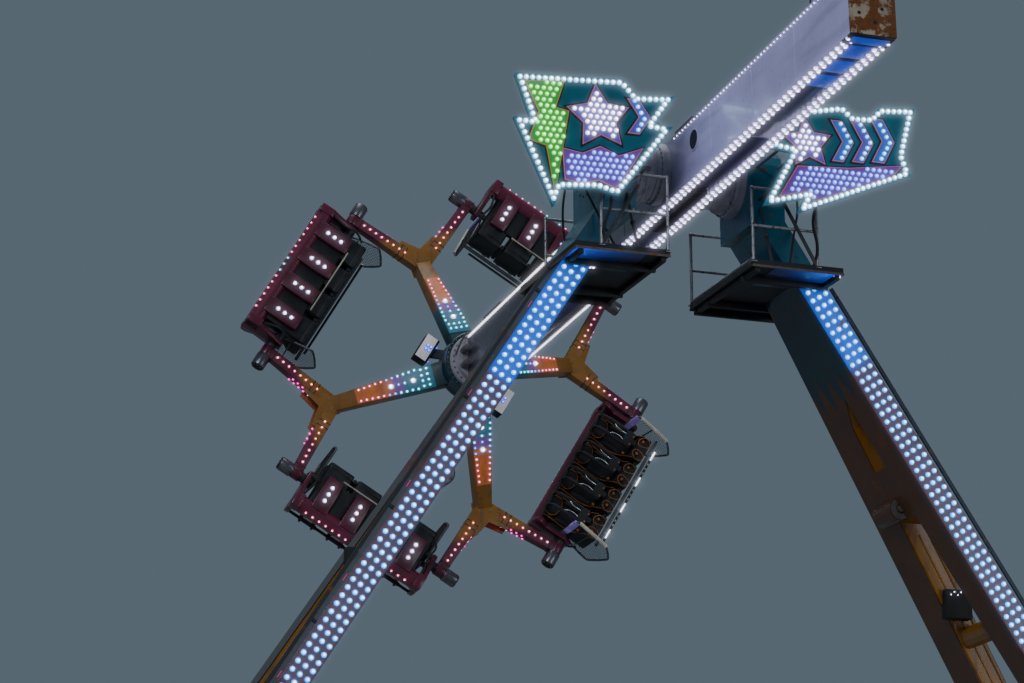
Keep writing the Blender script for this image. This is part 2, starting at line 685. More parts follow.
    def done(self, name: str, finishes: Sequence[bpy.types.Material], body: str, slot: str,
             stands_for: Sequence[str] = (), crease: float = 35.0) -> None:
        """Makes the object, puts it on its body and reports it.

        Args:
            name: the piece's name.
            finishes: its materials, in the order of the finish numbers.
            body: the body it moves with.
            slot: the record's finish that it belongs to.
            stands_for: the CAD nodes that it takes the place of.
            crease: the angle in degrees above which an edge stays sharp.
        """
        self.mesh.transform(self.place)
        if self.place.determinant() < 0:
            bmesh.ops.reverse_faces(self.mesh, faces=self.mesh.faces)
        mesh = bpy.data.meshes.new(name)
        self.mesh.to_mesh(mesh)
        self.mesh.free()
        for finish in finishes:
            mesh.materials.append(finish)
        mesh.polygons.foreach_set("use_smooth", [True] * len(mesh.polygons))
        mesh.set_sharp_from_angle(angle=math.radians(crease))
        made = bpy.data.objects.new(name, mesh)
        bpy.context.scene.collection.objects.link(made)
        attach(made, body)
        if stands_for:
            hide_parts(*stands_for)
        LOG.info("%s: %d faces on %s", name, len(mesh.polygons), body)


def lamp_form(radius: float) -> Callable[[Shape], None]:
    """What builds a lamp that looks along +Z: a collar in finish 0, a lens in 1 and its core in 2."""
    def build(shape: Shape) -> None:
        """Spins the collar, the lens and the core."""
        for finish, profile in enumerate((COLLAR_PROFILE, LENS_PROFILE, CORE_PROFILE)):
            shape.finish = finish
            shape.turned([(r * radius, h * radius) for r, h in profile], (0, 0, 0), UP, LAMP_SIDES)
    return build


def bolt_form(radius: float) -> Callable[[Shape], None]:
    """What builds a hexagon bolt head on its washer that looks along +Z."""
    def build(shape: Shape) -> None:
        """Adds the washer and the head."""
        shape.rod((0, 0, -0.3 * radius), (0, 0, 0.25 * radius), 1.5 * radius, sides=10)
        shape.rod((0, 0, 0.2 * radius), (0, 0, radius), radius, sides=6)
    return build


def facing(spot: Point, normal: Point) -> Matrix:
    """A place at a spot that looks along a normal."""
    turn = Vector(normal).to_track_quat("Z", "Y").to_matrix().to_4x4()
    return Matrix.Translation(Vector(spot)) @ turn


def all_facing(spots: Sequence[Point], normal: Point) -> list[Matrix]:
    """Places at several spots that all look along one normal."""
    return [facing(spot, normal) for spot in spots]


def circle_of(centre: Point, axis: Point, radius: float, count: int) -> list[Matrix]:
    """Places on a circle that all look along its axis.

    Args:
        centre: the circle's middle.
        axis: its axis.
        radius: its radius.
        count: how many places.

    Returns:
        The places.
    """
    along = Vector(axis).normalized()
    out = along.orthogonal().normalized()
    side = along.cross(out)
    angles = [2 * math.pi * i / count for i in range(count)]
    spots = [Vector(centre) + radius * (math.cos(a) * out + math.sin(a) * side) for a in angles]
    return all_facing(spots, along)


def walked(points: Sequence[Point], pitch: float) -> list[Vector]:
    """Evenly spaced points along a closed line of corners, about a pitch apart."""
    corners = [Vector(p) for p in points]
    corners.append(corners[0].copy())
    lengths = [(b - a).length for a, b in zip(corners, corners[1:])]
    count = max(1, round(sum(lengths) / pitch))
    found = []
    for index in range(count):
        left = index * sum(lengths) / count
        stretch = 0
        while stretch < len(lengths) - 1 and left > lengths[stretch]:
            left -= lengths[stretch]
            stretch += 1
        found.append(corners[stretch].lerp(corners[stretch + 1], min(1.0, left / lengths[stretch])))
    return found


def inset(outline: Sequence[Flat], distance: float) -> list[Flat]:
    """The flat outline drawn in by a distance, or out where it is negative."""
    points = [Vector(p) for p in outline]
    after = points[1:] + points[:1]
    turn = math.copysign(1.0, sum(a.x * b.y - b.x * a.y for a, b in zip(points, after)))
    found = []
    for before, here, there in zip(points[-1:] + points[:-1], points, after):
        runs = [(b - a).normalized() for a, b in ((before, here), (here, there))]
        ways = [turn * Vector((-run.y, run.x)) for run in runs]
        middle = (ways[0] + ways[1]).normalized()
        found.append(tuple(here + middle * distance / max(0.45, middle.dot(ways[0]))))
    return found


def inside(point: Flat, outline: Sequence[Flat]) -> bool:
    """Whether a point lies in a closed flat outline."""
    within = False
    for (x0, z0), (x1, z1) in zip(outline, [*outline[1:], outline[0]]):
        if (z0 > point[1]) != (z1 > point[1]):
            within ^= point[0] < x0 + (point[1] - z0) / (z1 - z0) * (x1 - x0)
    return within


def filled(outline: Sequence[Flat], pitch: float) -> list[Flat]:
    """Staggered points, a pitch apart, that fill a closed flat outline."""
    low_x, high_x = min(x for x, _ in outline), max(x for x, _ in outline)
    low_z, high_z = min(z for _, z in outline), max(z for _, z in outline)
    grid = [(low_x + (column + 0.5 * (row % 2)) * pitch, low_z + (row + 0.3) * pitch * 0.9)
            for row in range(int((high_z - low_z) / pitch / 0.9) + 1)
            for column in range(int((high_x - low_x) / pitch) + 2)]
    return [p for p in grid if inside(p, outline)]


def eased(outline: Sequence[Flat], reach: float) -> list[Flat]:
    """Points along a closed flat outline with its corners rounded off."""
    points = [Vector(p) for p in outline]
    found = []
    for before, here, there in zip(points[-1:] + points[:-1], points, points[1:] + points[:1]):
        a = here + (before - here).normalized() * reach
        b = here + (there - here).normalized() * reach
        found += [tuple(a), tuple(here.lerp((a + b) / 2, 0.45)), tuple(b)]
    return found


def lamps(name: str, colour: Lamp, radius: float, places: Sequence[Matrix], place: Matrix, body: str,
          slot: str = "lamp_board") -> None:
    """A set of lamps of one colour as one piece.

    Args:
        name: the piece's name.
        colour: the lamps' colour.
        radius: the lens's radius.
        places: where the lamps sit, in the local frame.
        place: the local frame.
        body: the body they move with.
        slot: the record's finish for them.
    """
    shape = Shape(place)
    shape.strewn(lamp_form(radius), places)
    shape.done(name, colour.finishes, body, slot)


def bolts(shape: Shape, radius: float, places: Sequence[Matrix]) -> None:
    """Adds bolt heads to a shape, in its set finish."""
    shape.strewn(bolt_form(radius), places)


def dress(node: str, finish: Paint, bevel: float = 0.0) -> None:
    """Gives a CAD node its finish and rounds its edges by the bevel in metres."""
    made = frame["nodes"][node]
    for slot in made.material_slots:
        slot.material = STOCK.get(finish)
    if bevel:
        weld = made.modifiers.new("weld", "WELD")
        weld.merge_threshold = 0.0002
        flat = made.modifiers.new("flat", "DECIMATE")
        flat.decimate_type = "DISSOLVE"
        flat.angle_limit = math.radians(1.0)
        rounding = made.modifiers.new("rounding", "BEVEL")
        rounding.width = bevel
        rounding.segments = 2
        rounding.limit_method = "ANGLE"
        rounding.angle_limit = math.radians(31.0)
    LOG.info("%s dressed with %s", node, finish.name)


@dataclass
class GroundFrame:
    """The beams under the legs, with foot plates and bolts."""

    top: float = 0.3997
    foot_x: Flat = (9.98, 10.6)
    feet_y: tuple[Flat, Flat] = ((-0.6, 0.06), (2.62, 3.3))
    plate: float = 0.03
    bolt_inset: Flat = (0.05, 0.06)
    bolt_radius: float = 0.022

    def build(self) -> None:
        """Dresses the beams and bolts a plate round each foot."""
        dress("ground_frame", DARK_STEEL, 0.008)
        shape = Shape()
        in_x, in_y = self.bolt_inset
        for side in Side:
            low, high = sorted(side.value * x for x in self.foot_x)
            for near, far in self.feet_y:
                shape.finish = 0
                shape.box((low, near, self.top), (high, far, self.top + self.plate), 0.005)
                shape.finish = 1
                spots = [(x, y, self.top + self.plate) for x in (low + in_x, high - in_x)
                         for y in (near + in_y, (near + far) / 2, far - in_y)]
                bolts(shape, self.bolt_radius, all_facing(spots, UP))
        shape.done("foot_plates", STOCK.all(DARK_STEEL, ZINC_BOLT), "base", "dark_steel")


@dataclass
class Sided:
    """A part of the base that stands on one side of the ride, built in right-hand coordinates."""

    side: Side

    @property
    def label(self) -> str:
        """The side's name as the nodes have it."""
        return self.side.label

    def shape(self) -> Shape:
        """A new piece in this side's frame."""
        return Shape(self.side.place)

    def light(self, what: str, colour: Lamp, radius: float, places: Sequence[Matrix]) -> None:
        """Makes a set of this side's lamps, at places in its frame."""
        lamps(f"{self.label}_{what}", colour, radius, places, self.side.place, "base")


@dataclass
class Leg(Sided):
    """One leaning leg: its two-tone paint, its board of lamps, its rail and its fittings."""

    brown_after: float
    width: float = 0.36
    inner: Flat = (1.382, 13.78)
    front_y: float = -0.52
    board_y: float = -0.5453
    rear_top_y: float = 0.486
    rear_slope: float = 0.209
    rear_depth: float = 0.63
    top: float = 13.7
    split: float = 10.8
    first_lamp: Flat = (1.46, 13.78)
    lamp_pitch: float = 0.125
    lamp_spread: float = 0.1125
    lamp_radius: float = 0.034
    lamp_rows: int = 122
    marker_pitch: float = 1.25
    markers: int = 10
    block_z: float = 9.75
    block_half: float = 0.2
    block_depth: float = 0.15
    pin_z: float = 10.93
    pin_y: float = 0.235
    paint_run: float = 14.0
    paint_stops: Stops = ((0.0, TEAL), (0.128, OCHRE), (0.5, BROWN))
    shade_run: float = 0.42
    shade_stops: Stops = ((0.0, (0.34, 0.26, 0.26)), (0.11, UNSHADED), (0.89, (0.08, 0.08, 0.09)))
    board_blend: float = 0.003
    seam_low: float = 0.6
    seam_gap: float = 0.15
    seam: Flat = (0.03, 0.012)
    strip: Flat = (0.045, 0.016)
    strip_inset: float = 0.05
    hose_shifts: Flat = (0.05, 0.12)
    hose_z: tuple[float, ...] = (10.4, 9.0, 7.1, 5.0, 3.0, 1.0)
    hose_radius: float = 0.016
    stub_z: Flat = (13.55, 13.69)

    def inner_x(self, z: float) -> float:
        """The inner edge at a height."""
        return self.inner[0] + (self.inner[1] - z) * math.tan(LEAN)

    def outer_x(self, z: float) -> float:
        """The outer edge at a height."""
        return self.inner_x(z) + self.width / math.cos(LEAN)

    def middle_x(self, z: float) -> float:
        """The middle at a height."""
        return (self.inner_x(z) + self.outer_x(z)) / 2

    def rear_y(self, z: float) -> float:
        """The back face at a height."""
        return self.rear_top_y + self.rear_slope * (self.top - z)

    def paint(self) -> None:
        """Dresses the leg, the board and the rail."""
        name, way, run = self.label, self.side.value, self.paint_run
        down = (way * math.sin(LEAN), 0.0, -math.cos(LEAN))
        start = (way * self.inner[0], 0.0, self.top)
        steel = Bands(start, down, run, self.paint_stops, True, 0.5, 0.3)
        out = (way * math.cos(LEAN), 0.0, math.sin(LEAN))
        edge = tuple(Vector((way * self.inner_x(self.top), 0.0, self.top)) - 0.03 * Vector(out))
        dark_side = Bands(edge, out, self.shade_run, self.shade_stops, True)
        dress(f"{name}_leg", Paint(f"{name}_leg_paint", OCHRE, steel, gloss=0.6, dirt=0.5, rust=0.45,
                                   shine=0.3, shade=dark_side), 0.008)
        turn, blend = self.brown_after / run, self.board_blend
        front = Bands(start, down, run, ((0.0, BOARD_BLUE), (turn - blend, BOARD_BLUE),
                                         (turn + blend, BOARD_BROWN), (1.0, BOARD_BROWN)))
        dress(f"{name}_light_board", Paint(f"{name}_board", BOARD_BLUE, front, gloss=0.62, dirt=0.4,
                                           rust=0.2, glow=0.35), 0.004)
        dress(f"{name}_leg_rail", DARK_STEEL, 0.004)

    def add_lamps(self) -> None:
        """Puts three rows of lamps on the board and markers on the outer side."""
        down = Vector((math.sin(LEAN), 0.0, -math.cos(LEAN)))
        out = Vector((math.cos(LEAN), 0.0, math.sin(LEAN)))
        first = Vector((self.first_lamp[0], self.board_y, self.first_lamp[1]))
        spots = [first + down * (row * self.lamp_pitch) + out * (column * self.lamp_spread)
                 for row in range(2, self.lamp_rows) for column in range(3)]
        self.light("leg_lamps", Lamp.ICE, self.lamp_radius, all_facing(spots, FORWARD))
        marks = self.shape()
        for i in range(self.markers):
            z = self.top - 0.6 - i * self.marker_pitch
            middle = Vector((self.outer_x(z), self.front_y + 0.16, z))
            marks.beam(middle - 0.05 * down, middle + 0.05 * down, BACKWARD, (0.03, 0.01), bevel=0.003)
        marks.done(f"{self.label}_leg_markers", STOCK.all(MARKER), "base", "lamp_board")

    def add_fittings(self) -> None:
        """Adds seams, the pin's ring, the block with its small lamps, hoses and the top rail."""
        shape = self.shape()
        back = -self.rear_depth - 0.004
        low, high = self.seam_low, self.split - self.seam_gap
        inset_x = self.strip_inset
        for x_at, shift, size in ((self.middle_x, 0.0, self.seam),
                                  (self.inner_x, inset_x, self.strip),
                                  (self.outer_x, -inset_x, self.strip)):
            shape.beam((x_at(high) + shift, self.rear_y(high) + back, high),
                       (x_at(low) + shift, self.rear_y(low) + back, low), ACROSS, size)
        shape.finish = 1
        z, half = self.block_z, self.block_half
        face = self.rear_y(z) - self.rear_depth
        shape.box((self.inner_x(z) + 0.02, face - self.block_depth, z - half),
                  (self.outer_x(z) - 0.02, face + 0.02, z + half), 0.02)
        shape.pipes([[(self.inner_x(h) + shift, shift / 2, h) for h in self.hose_z]
                     for shift in self.hose_shifts], self.hose_radius)
        shape.finish = 2
        pin = (self.inner_x(self.pin_z), self.pin_y, self.pin_z)
        shape.ring(pin, BACKWARD, 0.07, 0.15, 0.02)
        shape.rod((pin[0], 0.2, pin[2]), pin, 0.05, sides=6)
        shape.finish = 3
        offset = 0.0825 / math.cos(LEAN)
        ends = [(self.outer_x(h) + offset, self.front_y + 0.04, h) for h in self.stub_z]
        shape.beam(*ends, BACKWARD, (0.045, 0.045))
        shape.done(f"{self.label}_leg_fittings", STOCK.all(OCHRE_STRIP, RUBBER, ZINC_BOLT, DARK_STEEL),
                   "base", "ochre_paint")
        small = [(self.inner_x(z) + 0.09 + 0.05 * i, face - self.block_depth, z + 0.12 + 0.04 * (i % 2))
                 for i in range(4)]
        self.light("block_lamps", Lamp.WHITE, 0.009, all_facing(small, FORWARD))

    def build(self) -> None:
        """Makes the leg's pieces."""
        self.paint()
        self.add_lamps()
        self.add_fittings()


@dataclass
class Platform(Sided):
    """The service platform round one head, with its railing."""

    inner_x: float = 0.58
    outer_x: float = 1.88
    half_y: float = 1.07
    floor: float = 13.75
    under: float = 13.7
    lip: float = 0.09
    rail_top: float = 14.779
    knee: float = 14.26
    foot_rail: float = 13.811
    tube: float = 0.021
    middle_post: float = 1.52
    grate_pitch: float = 0.075
    channels_y: tuple[float, ...] = (-0.62, 0.56, 0.98)
    channel: Flat = (0.03, 0.09)
    crossbars_x: Flat = (0.66, 1.8)
    crossbar: Flat = (0.035, 0.07)
    edge: float = 0.006
    edge_z: Flat = (-0.012, 0.022)
    knot: float = 0.027
    foot_half: float = 0.04

    @property
    def lamp_spot(self) -> Flat:
        """Where the two small lamps sit below the plate."""
        return (1.405, -0.375) if self.side is Side.LEFT else (1.81, -1.02)

    def build(self) -> None:
        """Dresses the plate and makes the underside, the grate and the railing."""
        dress(f"{self.label}_platform", BLACK_PAINT, 0.004)
        self.add_underside()
        self.add_grate()
        self.add_railing()

    def add_underside(self) -> None:
        """Adds channels, a brown edge, a lit panel and two small lamps below the plate."""
        shape = self.shape()
        x0, x1, y, under = self.inner_x, self.outer_x, self.half_y, self.under
        half, deep = self.channel
        for at in self.channels_y:
            shape.box((x0 + 0.03, at - half, under - deep), (x1 - 0.03, at + half, under), 0.006)
        half, deep = self.crossbar
        for at in self.crossbars_x:
            shape.box((at - half, 0.02 - y, under - deep), (at + half, y - 0.02, under), 0.006)
        shape.finish = 1
        edge = self.edge
        low, high = (under + z for z in self.edge_z)
        shape.box((x0 - edge, -y - edge, low), (x1 + edge, -y, high), 0.002)
        shape.box((x0 - edge, y, low), (x1 + edge, y + edge, high), 0.002)
        shape.box((x1, -y, low), (x1 + edge, y, high), 0.002)
        shape.finish = 2
        shape.box((0.9, 0.01 - y, under - 0.008), (x1 - 0.01, 0.8 - y, under - 0.001), 0.002)
        way = self.side.value
        glow = Bands((way * 1.7, -1.06, 0.0), (-0.6 * way, 0.8, 0.0), 0.7, GLOW_STOPS)
        lit = Paint(f"{self.label}_lit_edge", (0.02, 0.1, 0.8), glow, dirt=0.5, grain=2.0, glow=0.6)
        shape.done(f"{self.label}_platform_underside", STOCK.all(BLACK_PAINT, LIP_BROWN, lit),
                   "base", "black_paint")
        x, y = self.lamp_spot
        spots = [(x + shift, y, under - 0.012) for shift in (-0.025, 0.025)]
        self.light("platform_lamps", Lamp.WHITE, 0.022, all_facing(spots, (0, -0.5, -1)))

    def add_grate(self) -> None:
        """Lays flat bars on the plate."""
        shape = self.shape()
        x0, x1 = self.inner_x + 0.02, self.outer_x - 0.02
        y0, y1 = 0.02 - self.half_y, self.half_y - 0.02
        for index in range(int((y1 - y0) / self.grate_pitch)):
            y = y0 + (index + 0.5) * self.grate_pitch
            shape.box((x0, y - 0.004, self.floor), (x1, y + 0.004, self.floor + 0.02), 0.0)
        for index in range(int((x1 - x0) / (2 * self.grate_pitch))):
            x = x0 + (index + 0.5) * 2 * self.grate_pitch
            shape.box((x - 0.005, y0, self.floor), (x + 0.005, y1, self.floor + 0.016), 0.0)
        shape.done(f"{self.label}_platform_grate", STOCK.all(GALVANISED), "base", "black_paint")

    def add_railing(self) -> None:
        """Bends the railing's tubes and sets its posts on foot plates."""
        shape = self.shape()
        y = self.half_y - self.tube
        xi, xm = self.inner_x + self.tube, self.middle_post
        foot, half, knot = self.under + self.lip, self.foot_half, self.knot
        heights = (self.rail_top, self.knee)
        for py in (-y, y):
            for z in heights:
                shape.rod((xi, py, z), (xm, py, z), 0.0195, sides=14)
            for px in (xi, xm):
                shape.rod((px, py, foot - half), (px, py, self.rail_top), self.tube, sides=14)
                shape.box((px - half, py - half, foot - 0.035), (px + half, py + half, foot - 0.02), 0.002)
                for z in heights:
                    shape.pad((px - knot, py - knot, z - knot), (px + knot, py + knot, z + knot), 1.0, 3)
        shape.rod((xi, -y, self.foot_rail), (xi, y, self.foot_rail), 0.019, sides=12)
        shape.done(f"{self.label}_railing_tubes", STOCK.all(GALVANISED), "base", "galvanised",
                   [f"{self.label}_railing"])


@dataclass
class Head(Sided):
    """One head with its slewing ring, and the arm's boss that turns in it."""

    housing_x: Flat = (0.8, 1.33)
    radius: float = 0.48
    housing_low: float = 14.45
    ring_x: Flat = (0.56, 0.7997)
    ring_radius: float = 0.435
    boss_x: Flat = (0.2665, 0.5595)
    boss_radius: float = 0.39
    collar_radius: float = 0.42
    bolt_pitch: float = 0.062
    ribs_y: tuple[float, ...] = (-0.3, 0.0, 0.3)
    motors: tuple[Flat, ...] = ((-0.18, 0.16), (0.2, -0.05))
    motor_length: float = 0.22
    motor_cap: float = 0.07

    def build(self) -> None:
        """Makes the head's pieces."""
        dress(f"{self.label}_head", TEAL_PAINT, 0.012)
        self.add_ring()
        self.add_boss()
        self.add_fittings()

    def add_ring(self) -> None:
        """Turns the fixed half of the slewing ring, with its bolts."""
        shape = self.shape()
        x0, x1 = self.ring_x
        r, c = self.ring_radius, self.radius
        shape.turned([(0, x0), (r - 0.03, x0), (r - 0.025, x0 + 0.008), (r - 0.005, x0 + 0.008),
                      (r, x0 + 0.014), (r, x0 + 0.04), (r - 0.007, x0 + 0.046), (r, x0 + 0.052),
                      (r, x0 + 0.095), (c - 0.008, x0 + 0.095), (c, x0 + 0.103), (c, x0 + 0.15),
                      (c - 0.01, x0 + 0.156), (c, x0 + 0.162), (c, x1), (0, x1)], PIVOT, ACROSS, 64)
        shape.finish = 1
        bolts(shape, 0.012, circle_of((x0 + 0.095, PIVOT.y, PIVOT.z), -ACROSS, 0.456, 30))
        shape.done(f"{self.label}_slewing_ring", STOCK.all(RING_STEEL, ZINC_BOLT), "base",
                   "bearing_steel", [f"{self.label}_slew_ring"])

    def add_boss(self) -> None:
        """Turns the arm's boss and its bolted collar."""
        shape = self.shape()
        x0, x1 = self.boss_x
        r, c = self.boss_radius, self.collar_radius
        shape.turned([(0, x0), (c, x0), (c, x0 + 0.105), (c - 0.012, x0 + 0.12), (r, x0 + 0.12),
                      (r, x0 + 0.18), (r - 0.012, x0 + 0.186), (r - 0.012, x0 + 0.2), (r, x0 + 0.206),
                      (r, x1), (0, x1)], PIVOT, ACROSS, 64)
        shape.finish = 1
        bolts(shape, 0.011, circle_of((x0 + 0.12, PIVOT.y, PIVOT.z), ACROSS, 0.4, 30))
        shape.done(f"{self.label}_bearing_boss", STOCK.all(RING_STEEL, ZINC_BOLT), "arm",
                   "bearing_steel", [f"{self.label}_arm_boss"])

    def add_fittings(self) -> None:
        """Adds bolts, ribs, drive motors, hoses and struts round the head."""
        shape = self.shape()
        x0, x1 = self.housing_x
        z, low = PIVOT.z, self.housing_low
        for way in (-1, 1):
            row = [(x0 + 0.05 + self.bolt_pitch * i, way * self.radius, low + 0.05) for i in range(8)]
            bolts(shape, 0.013, all_facing(row, (0, way, 0)))
        bolts(shape, 0.014, circle_of((x1, PIVOT.y, z), ACROSS, 0.4, 18))
        shape.finish = 1
        for y in self.ribs_y:
            shape.beam((1.1, y, low - 0.01), (x1 - 0.05, y, low - 0.3), BACKWARD, (0.03, 0.16))
        shape.finish = 2
        end = x1 + self.motor_length
        for y, rise in self.motors:
            shape.rod((x1, y, z + rise), (end, y, z + rise), 0.085, sides=20, bevel=0.008)
            shape.rod((end, y, z + rise), (end + self.motor_cap, y, z + rise), 0.055, sides=16, bevel=0.006)
        shape.pipes([[(x1 + 0.2, -0.18, z + 0.08), (x1 + 0.22, -0.4, 14.9), (x1 + 0.05, -0.62, 14.3),
                      (x1 - 0.1, -0.8, 13.85)],
                     [(x1 + 0.2, 0.2, z - 0.13), (x1 + 0.2, 0.35, 14.6), (x1 + 0.1, 0.4, 13.9)]], 0.016)
        shape.pipes([[(1.5, -1.18, 14.7), (1.42, -1.16, 14.35), (1.5, -1.1, 14.0), (1.48, -1.0, 13.78)]],
                    0.02)
        shape.finish = 3
        shape.rod((0.95, -0.9, 13.78), (0.95, -0.52, 14.7), 0.02, sides=10)
        shape.pad((0.92, -0.75, 14.2), (0.98, -0.66, 14.28), 1.0, 3)
        shape.beam((1.02, -1.1, 14.62), (1.5, -1.05, 13.8), BACKWARD, (0.012, 0.05), bevel=0.002)
        shape.done(f"{self.label}_head_fittings", STOCK.all(ZINC_BOLT, TEAL_PAINT, RUBBER, DARK_STEEL),
                   "base", "teal_paint")


@dataclass(frozen=True)
class Motif:
    """A lit figure on a sign, in metres about the board's middle."""

    outline: tuple[Flat, ...]
    lamp: Lamp
    face: Colour
    rim: Colour


def star(centre: Flat, outer: float, inner: float) -> tuple[Flat, ...]:
    """A five-pointed star's outline, turned a little to one side."""
    tilt = math.pi / 2 + 0.1
    points = []
    for i in range(10):
        reach = inner if i % 2 else outer
        angle = tilt + i * math.pi / 5
        points.append((centre[0] + reach * math.cos(angle), centre[1] + reach * math.sin(angle)))
    return tuple(points)


def chevron(x: float, z: float, thick: float, height: float) -> tuple[Flat, ...]:
    """The outline of a chevron that points along +X, from its upper left corner on."""
    half = height / 2
    point = 0.16
    return ((x, z + half), (x + thick, z + half), (x + thick + point, z), (x + thick, z - half),
            (x, z - half), (x + point, z))


@dataclass
class Sign(Sided):
    """A ragged sign board with rows of lamps and lit figures."""

    centre: Flat
    outline: tuple[Flat, ...]
    motifs: tuple[Motif, ...]
    face_y: float = -1.30
    back_y: float = -1.23
    edge_inset: float = 0.045
    edge_pitch: float = 0.085
    edge_lamp: float = 0.034
    lamp_pitch: float = 0.088
    figure_lamp: float = 0.029
    layers: tuple[Flat, ...] = ((-0.022, 0.008), (0.0, 0.016), (0.014, 0.021))
    ribs: tuple[float, ...] = (0.45, 0.87, 1.29)
    frame_y: float = -1.2
    head_y: float = -0.46
    stays: Flat = (0.95, 1.25)
    rails: Flat = (14.82, 15.3)

    def at(self, point: Flat, y: float) -> Point:
        """A point of the board's plane in the ride's own coordinates."""
        return (self.centre[0] + point[0], y, self.centre[1] + point[1])

    def plate(self, shape: Shape, outline: Sequence[Flat], proud: float) -> None:
        """A flat figure that stands proud of the board."""
        shape.slab([self.at(p, self.face_y - proud) for p in outline], (0.0, proud + 0.004, 0.0))

    def build(self) -> None:
        """Makes the board's edging, figures, lamps and back frame."""
        name = self.label
        dress(f"{name}_sign", SIGN_BLUE, 0.004)
        self.add_bracket()
        self.add_edging()
        for index, motif in enumerate(self.motifs, 1):
            self.add_motif(motif, index)
        line = [self.at(p, self.face_y) for p in inset(self.outline, self.edge_inset)]
        places = all_facing(walked(line, self.edge_pitch), FORWARD)
        lamps(f"{name}_sign_edge_lamps", Lamp.PALE, self.edge_lamp, places, Matrix(), "base", "teal_paint")

    def add_bracket(self) -> None:
        """Carries the board on stays from the head's front."""
        shape = self.shape()
        y, (near, far) = self.frame_y, self.stays
        for z in self.rails:
            for x in self.stays:
                shape.rod((x, y, z), (x, self.head_y, z), 0.02, sides=12)
            shape.box((near - 0.06, y - 0.02, z - 0.025), (far + 0.3, y + 0.02, z + 0.025), 0.004)
        low, high = self.rails
        shape.rod((far, y, low), (far, self.head_y - 0.01, high), 0.014, sides=10)
        shape.done(f"{self.label}_sign_frame", STOCK.all(DARK_STEEL), "base", "dark_steel",
                   [f"{self.label}_sign_bracket"])

    def add_edging(self) -> None:
        """Runs a thin lip round the board and ribs across its back."""
        shape = Shape()
        corners = [self.at(p, self.face_y - 0.006) for p in self.outline]
        for a, b in zip(corners, corners[1:] + corners[:1]):
            shape.beam(a, b, BACKWARD, (0.03, 0.014), bevel=0.003)
        shape.finish = 1
        lowest = min(z for _, z in self.outline)
        for rise in self.ribs:
            z = self.centre[1] + lowest + rise
            run = [x / 20 for x in range(-24, 25) if inside((x / 20, lowest + rise - 0.04), self.outline)]
            shape.box((self.centre[0] + run[0] + 0.1, self.back_y, z),
                      (self.centre[0] + run[-1] - 0.1, self.back_y + 0.03, z + 0.04), 0.003)
        shape.done(f"{self.label}_sign_edging", STOCK.all(SIGN_LIP, DARK_STEEL), "base", "teal_paint")

    def add_motif(self, motif: Motif, index: int) -> None:
        """Lays one figure on the board: a dark shadow, a bright rim, a lit face and its lamps."""
        shape = Shape()
        for finish, (drawn_in, proud) in enumerate(self.layers):
            shape.finish = finish
            self.plate(shape, inset(motif.outline, drawn_in), proud)
        name = f"{self.label}_sign_figure_{index}"
        rim = Paint(f"{name}_rim", motif.rim, gloss=0.6, dirt=0.2, grain=6.0, glow=0.4)
        face = Paint(f"{name}_face", motif.face, gloss=0.6, dirt=0.2, grain=6.0, glow=0.8)
        shape.done(name, STOCK.all(SIGN_DARK, rim, face), "base", "teal_paint")
        spots = filled(inset(motif.outline, 0.03), self.lamp_pitch)
        places = all_facing([self.at(p, self.face_y - 0.02) for p in spots], FORWARD)
        lamps(f"{name}_lamps", motif.lamp, self.figure_lamp, places, Matrix(), "base", "teal_paint")


SIGNS = (
    Sign(Side.LEFT, (-1.665, 14.97),
         ((-1.11, 0.90), (0.37, 0.99), (0.56, 0.79), (1.08, 0.84), (0.80, 0.43), (1.05, 0.41),
          (0.28, -0.61), (0.0, -0.54), (-0.50, -0.59), (-0.60, -0.84), (-1.13, 0.31), (-0.90, 0.31)),
         (Motif(((-1.0, 0.82), (-0.44, 0.87), (-0.56, 0.50), (-0.38, 0.47), (-0.58, -0.70), (-0.70, -0.04),
                 (-0.94, 0.02), (-0.80, 0.42)), Lamp.GREEN, GREEN_FACE, GOLD_RIM),
          Motif(star((0.03, 0.43), 0.46, 0.24), Lamp.WHITE, VIOLET_FACE, PINK_RIM),
          Motif(chevron(0.42, 0.50, 0.17, 0.48), Lamp.ICE, VIOLET_FACE, PINK_RIM),
          Motif(((-0.48, -0.04), (-0.20, -0.08), (0.04, 0.04), (0.30, -0.06), (0.64, 0.08), (0.36, -0.38),
                 (0.24, -0.52), (0.02, -0.43), (-0.22, -0.51), (-0.45, -0.47)), Lamp.VIOLET, PINK_FACE,
                PINK_RIM))),
    Sign(Side.RIGHT, (1.87, 15.08),
         ((-0.99, 0.70), (-0.04, 0.90), (0.12, 0.77), (0.37, 0.79), (0.50, 0.93), (1.02, 0.98),
          (0.84, 0.28), (0.93, 0.02), (-0.74, -0.68), (-0.62, -0.46), (-1.21, -0.62), (-0.80, 0.16),
          (-1.08, 0.19)),
         (Motif(star((-0.56, 0.31), 0.37, 0.19), Lamp.WHITE, VIOLET_FACE, PINK_RIM),
          Motif(chevron(-0.22, 0.39, 0.17, 0.58), Lamp.ICE, BLUE_FACE, PINK_RIM),
          Motif(chevron(0.07, 0.41, 0.17, 0.58), Lamp.ICE, VIOLET_FACE, PINK_RIM),
          Motif(chevron(0.36, 0.46, 0.19, 0.62), Lamp.ICE, BLUE_FACE, PINK_RIM),
          Motif(((-1.0, -0.48), (-0.72, -0.02), (0.02, 0.03), (0.82, 0.15), (0.64, -0.05), (0.0, -0.30),
                 (-0.50, -0.50), (-0.60, -0.38)), Lamp.VIOLET, PINK_FACE, PINK_RIM))),
)


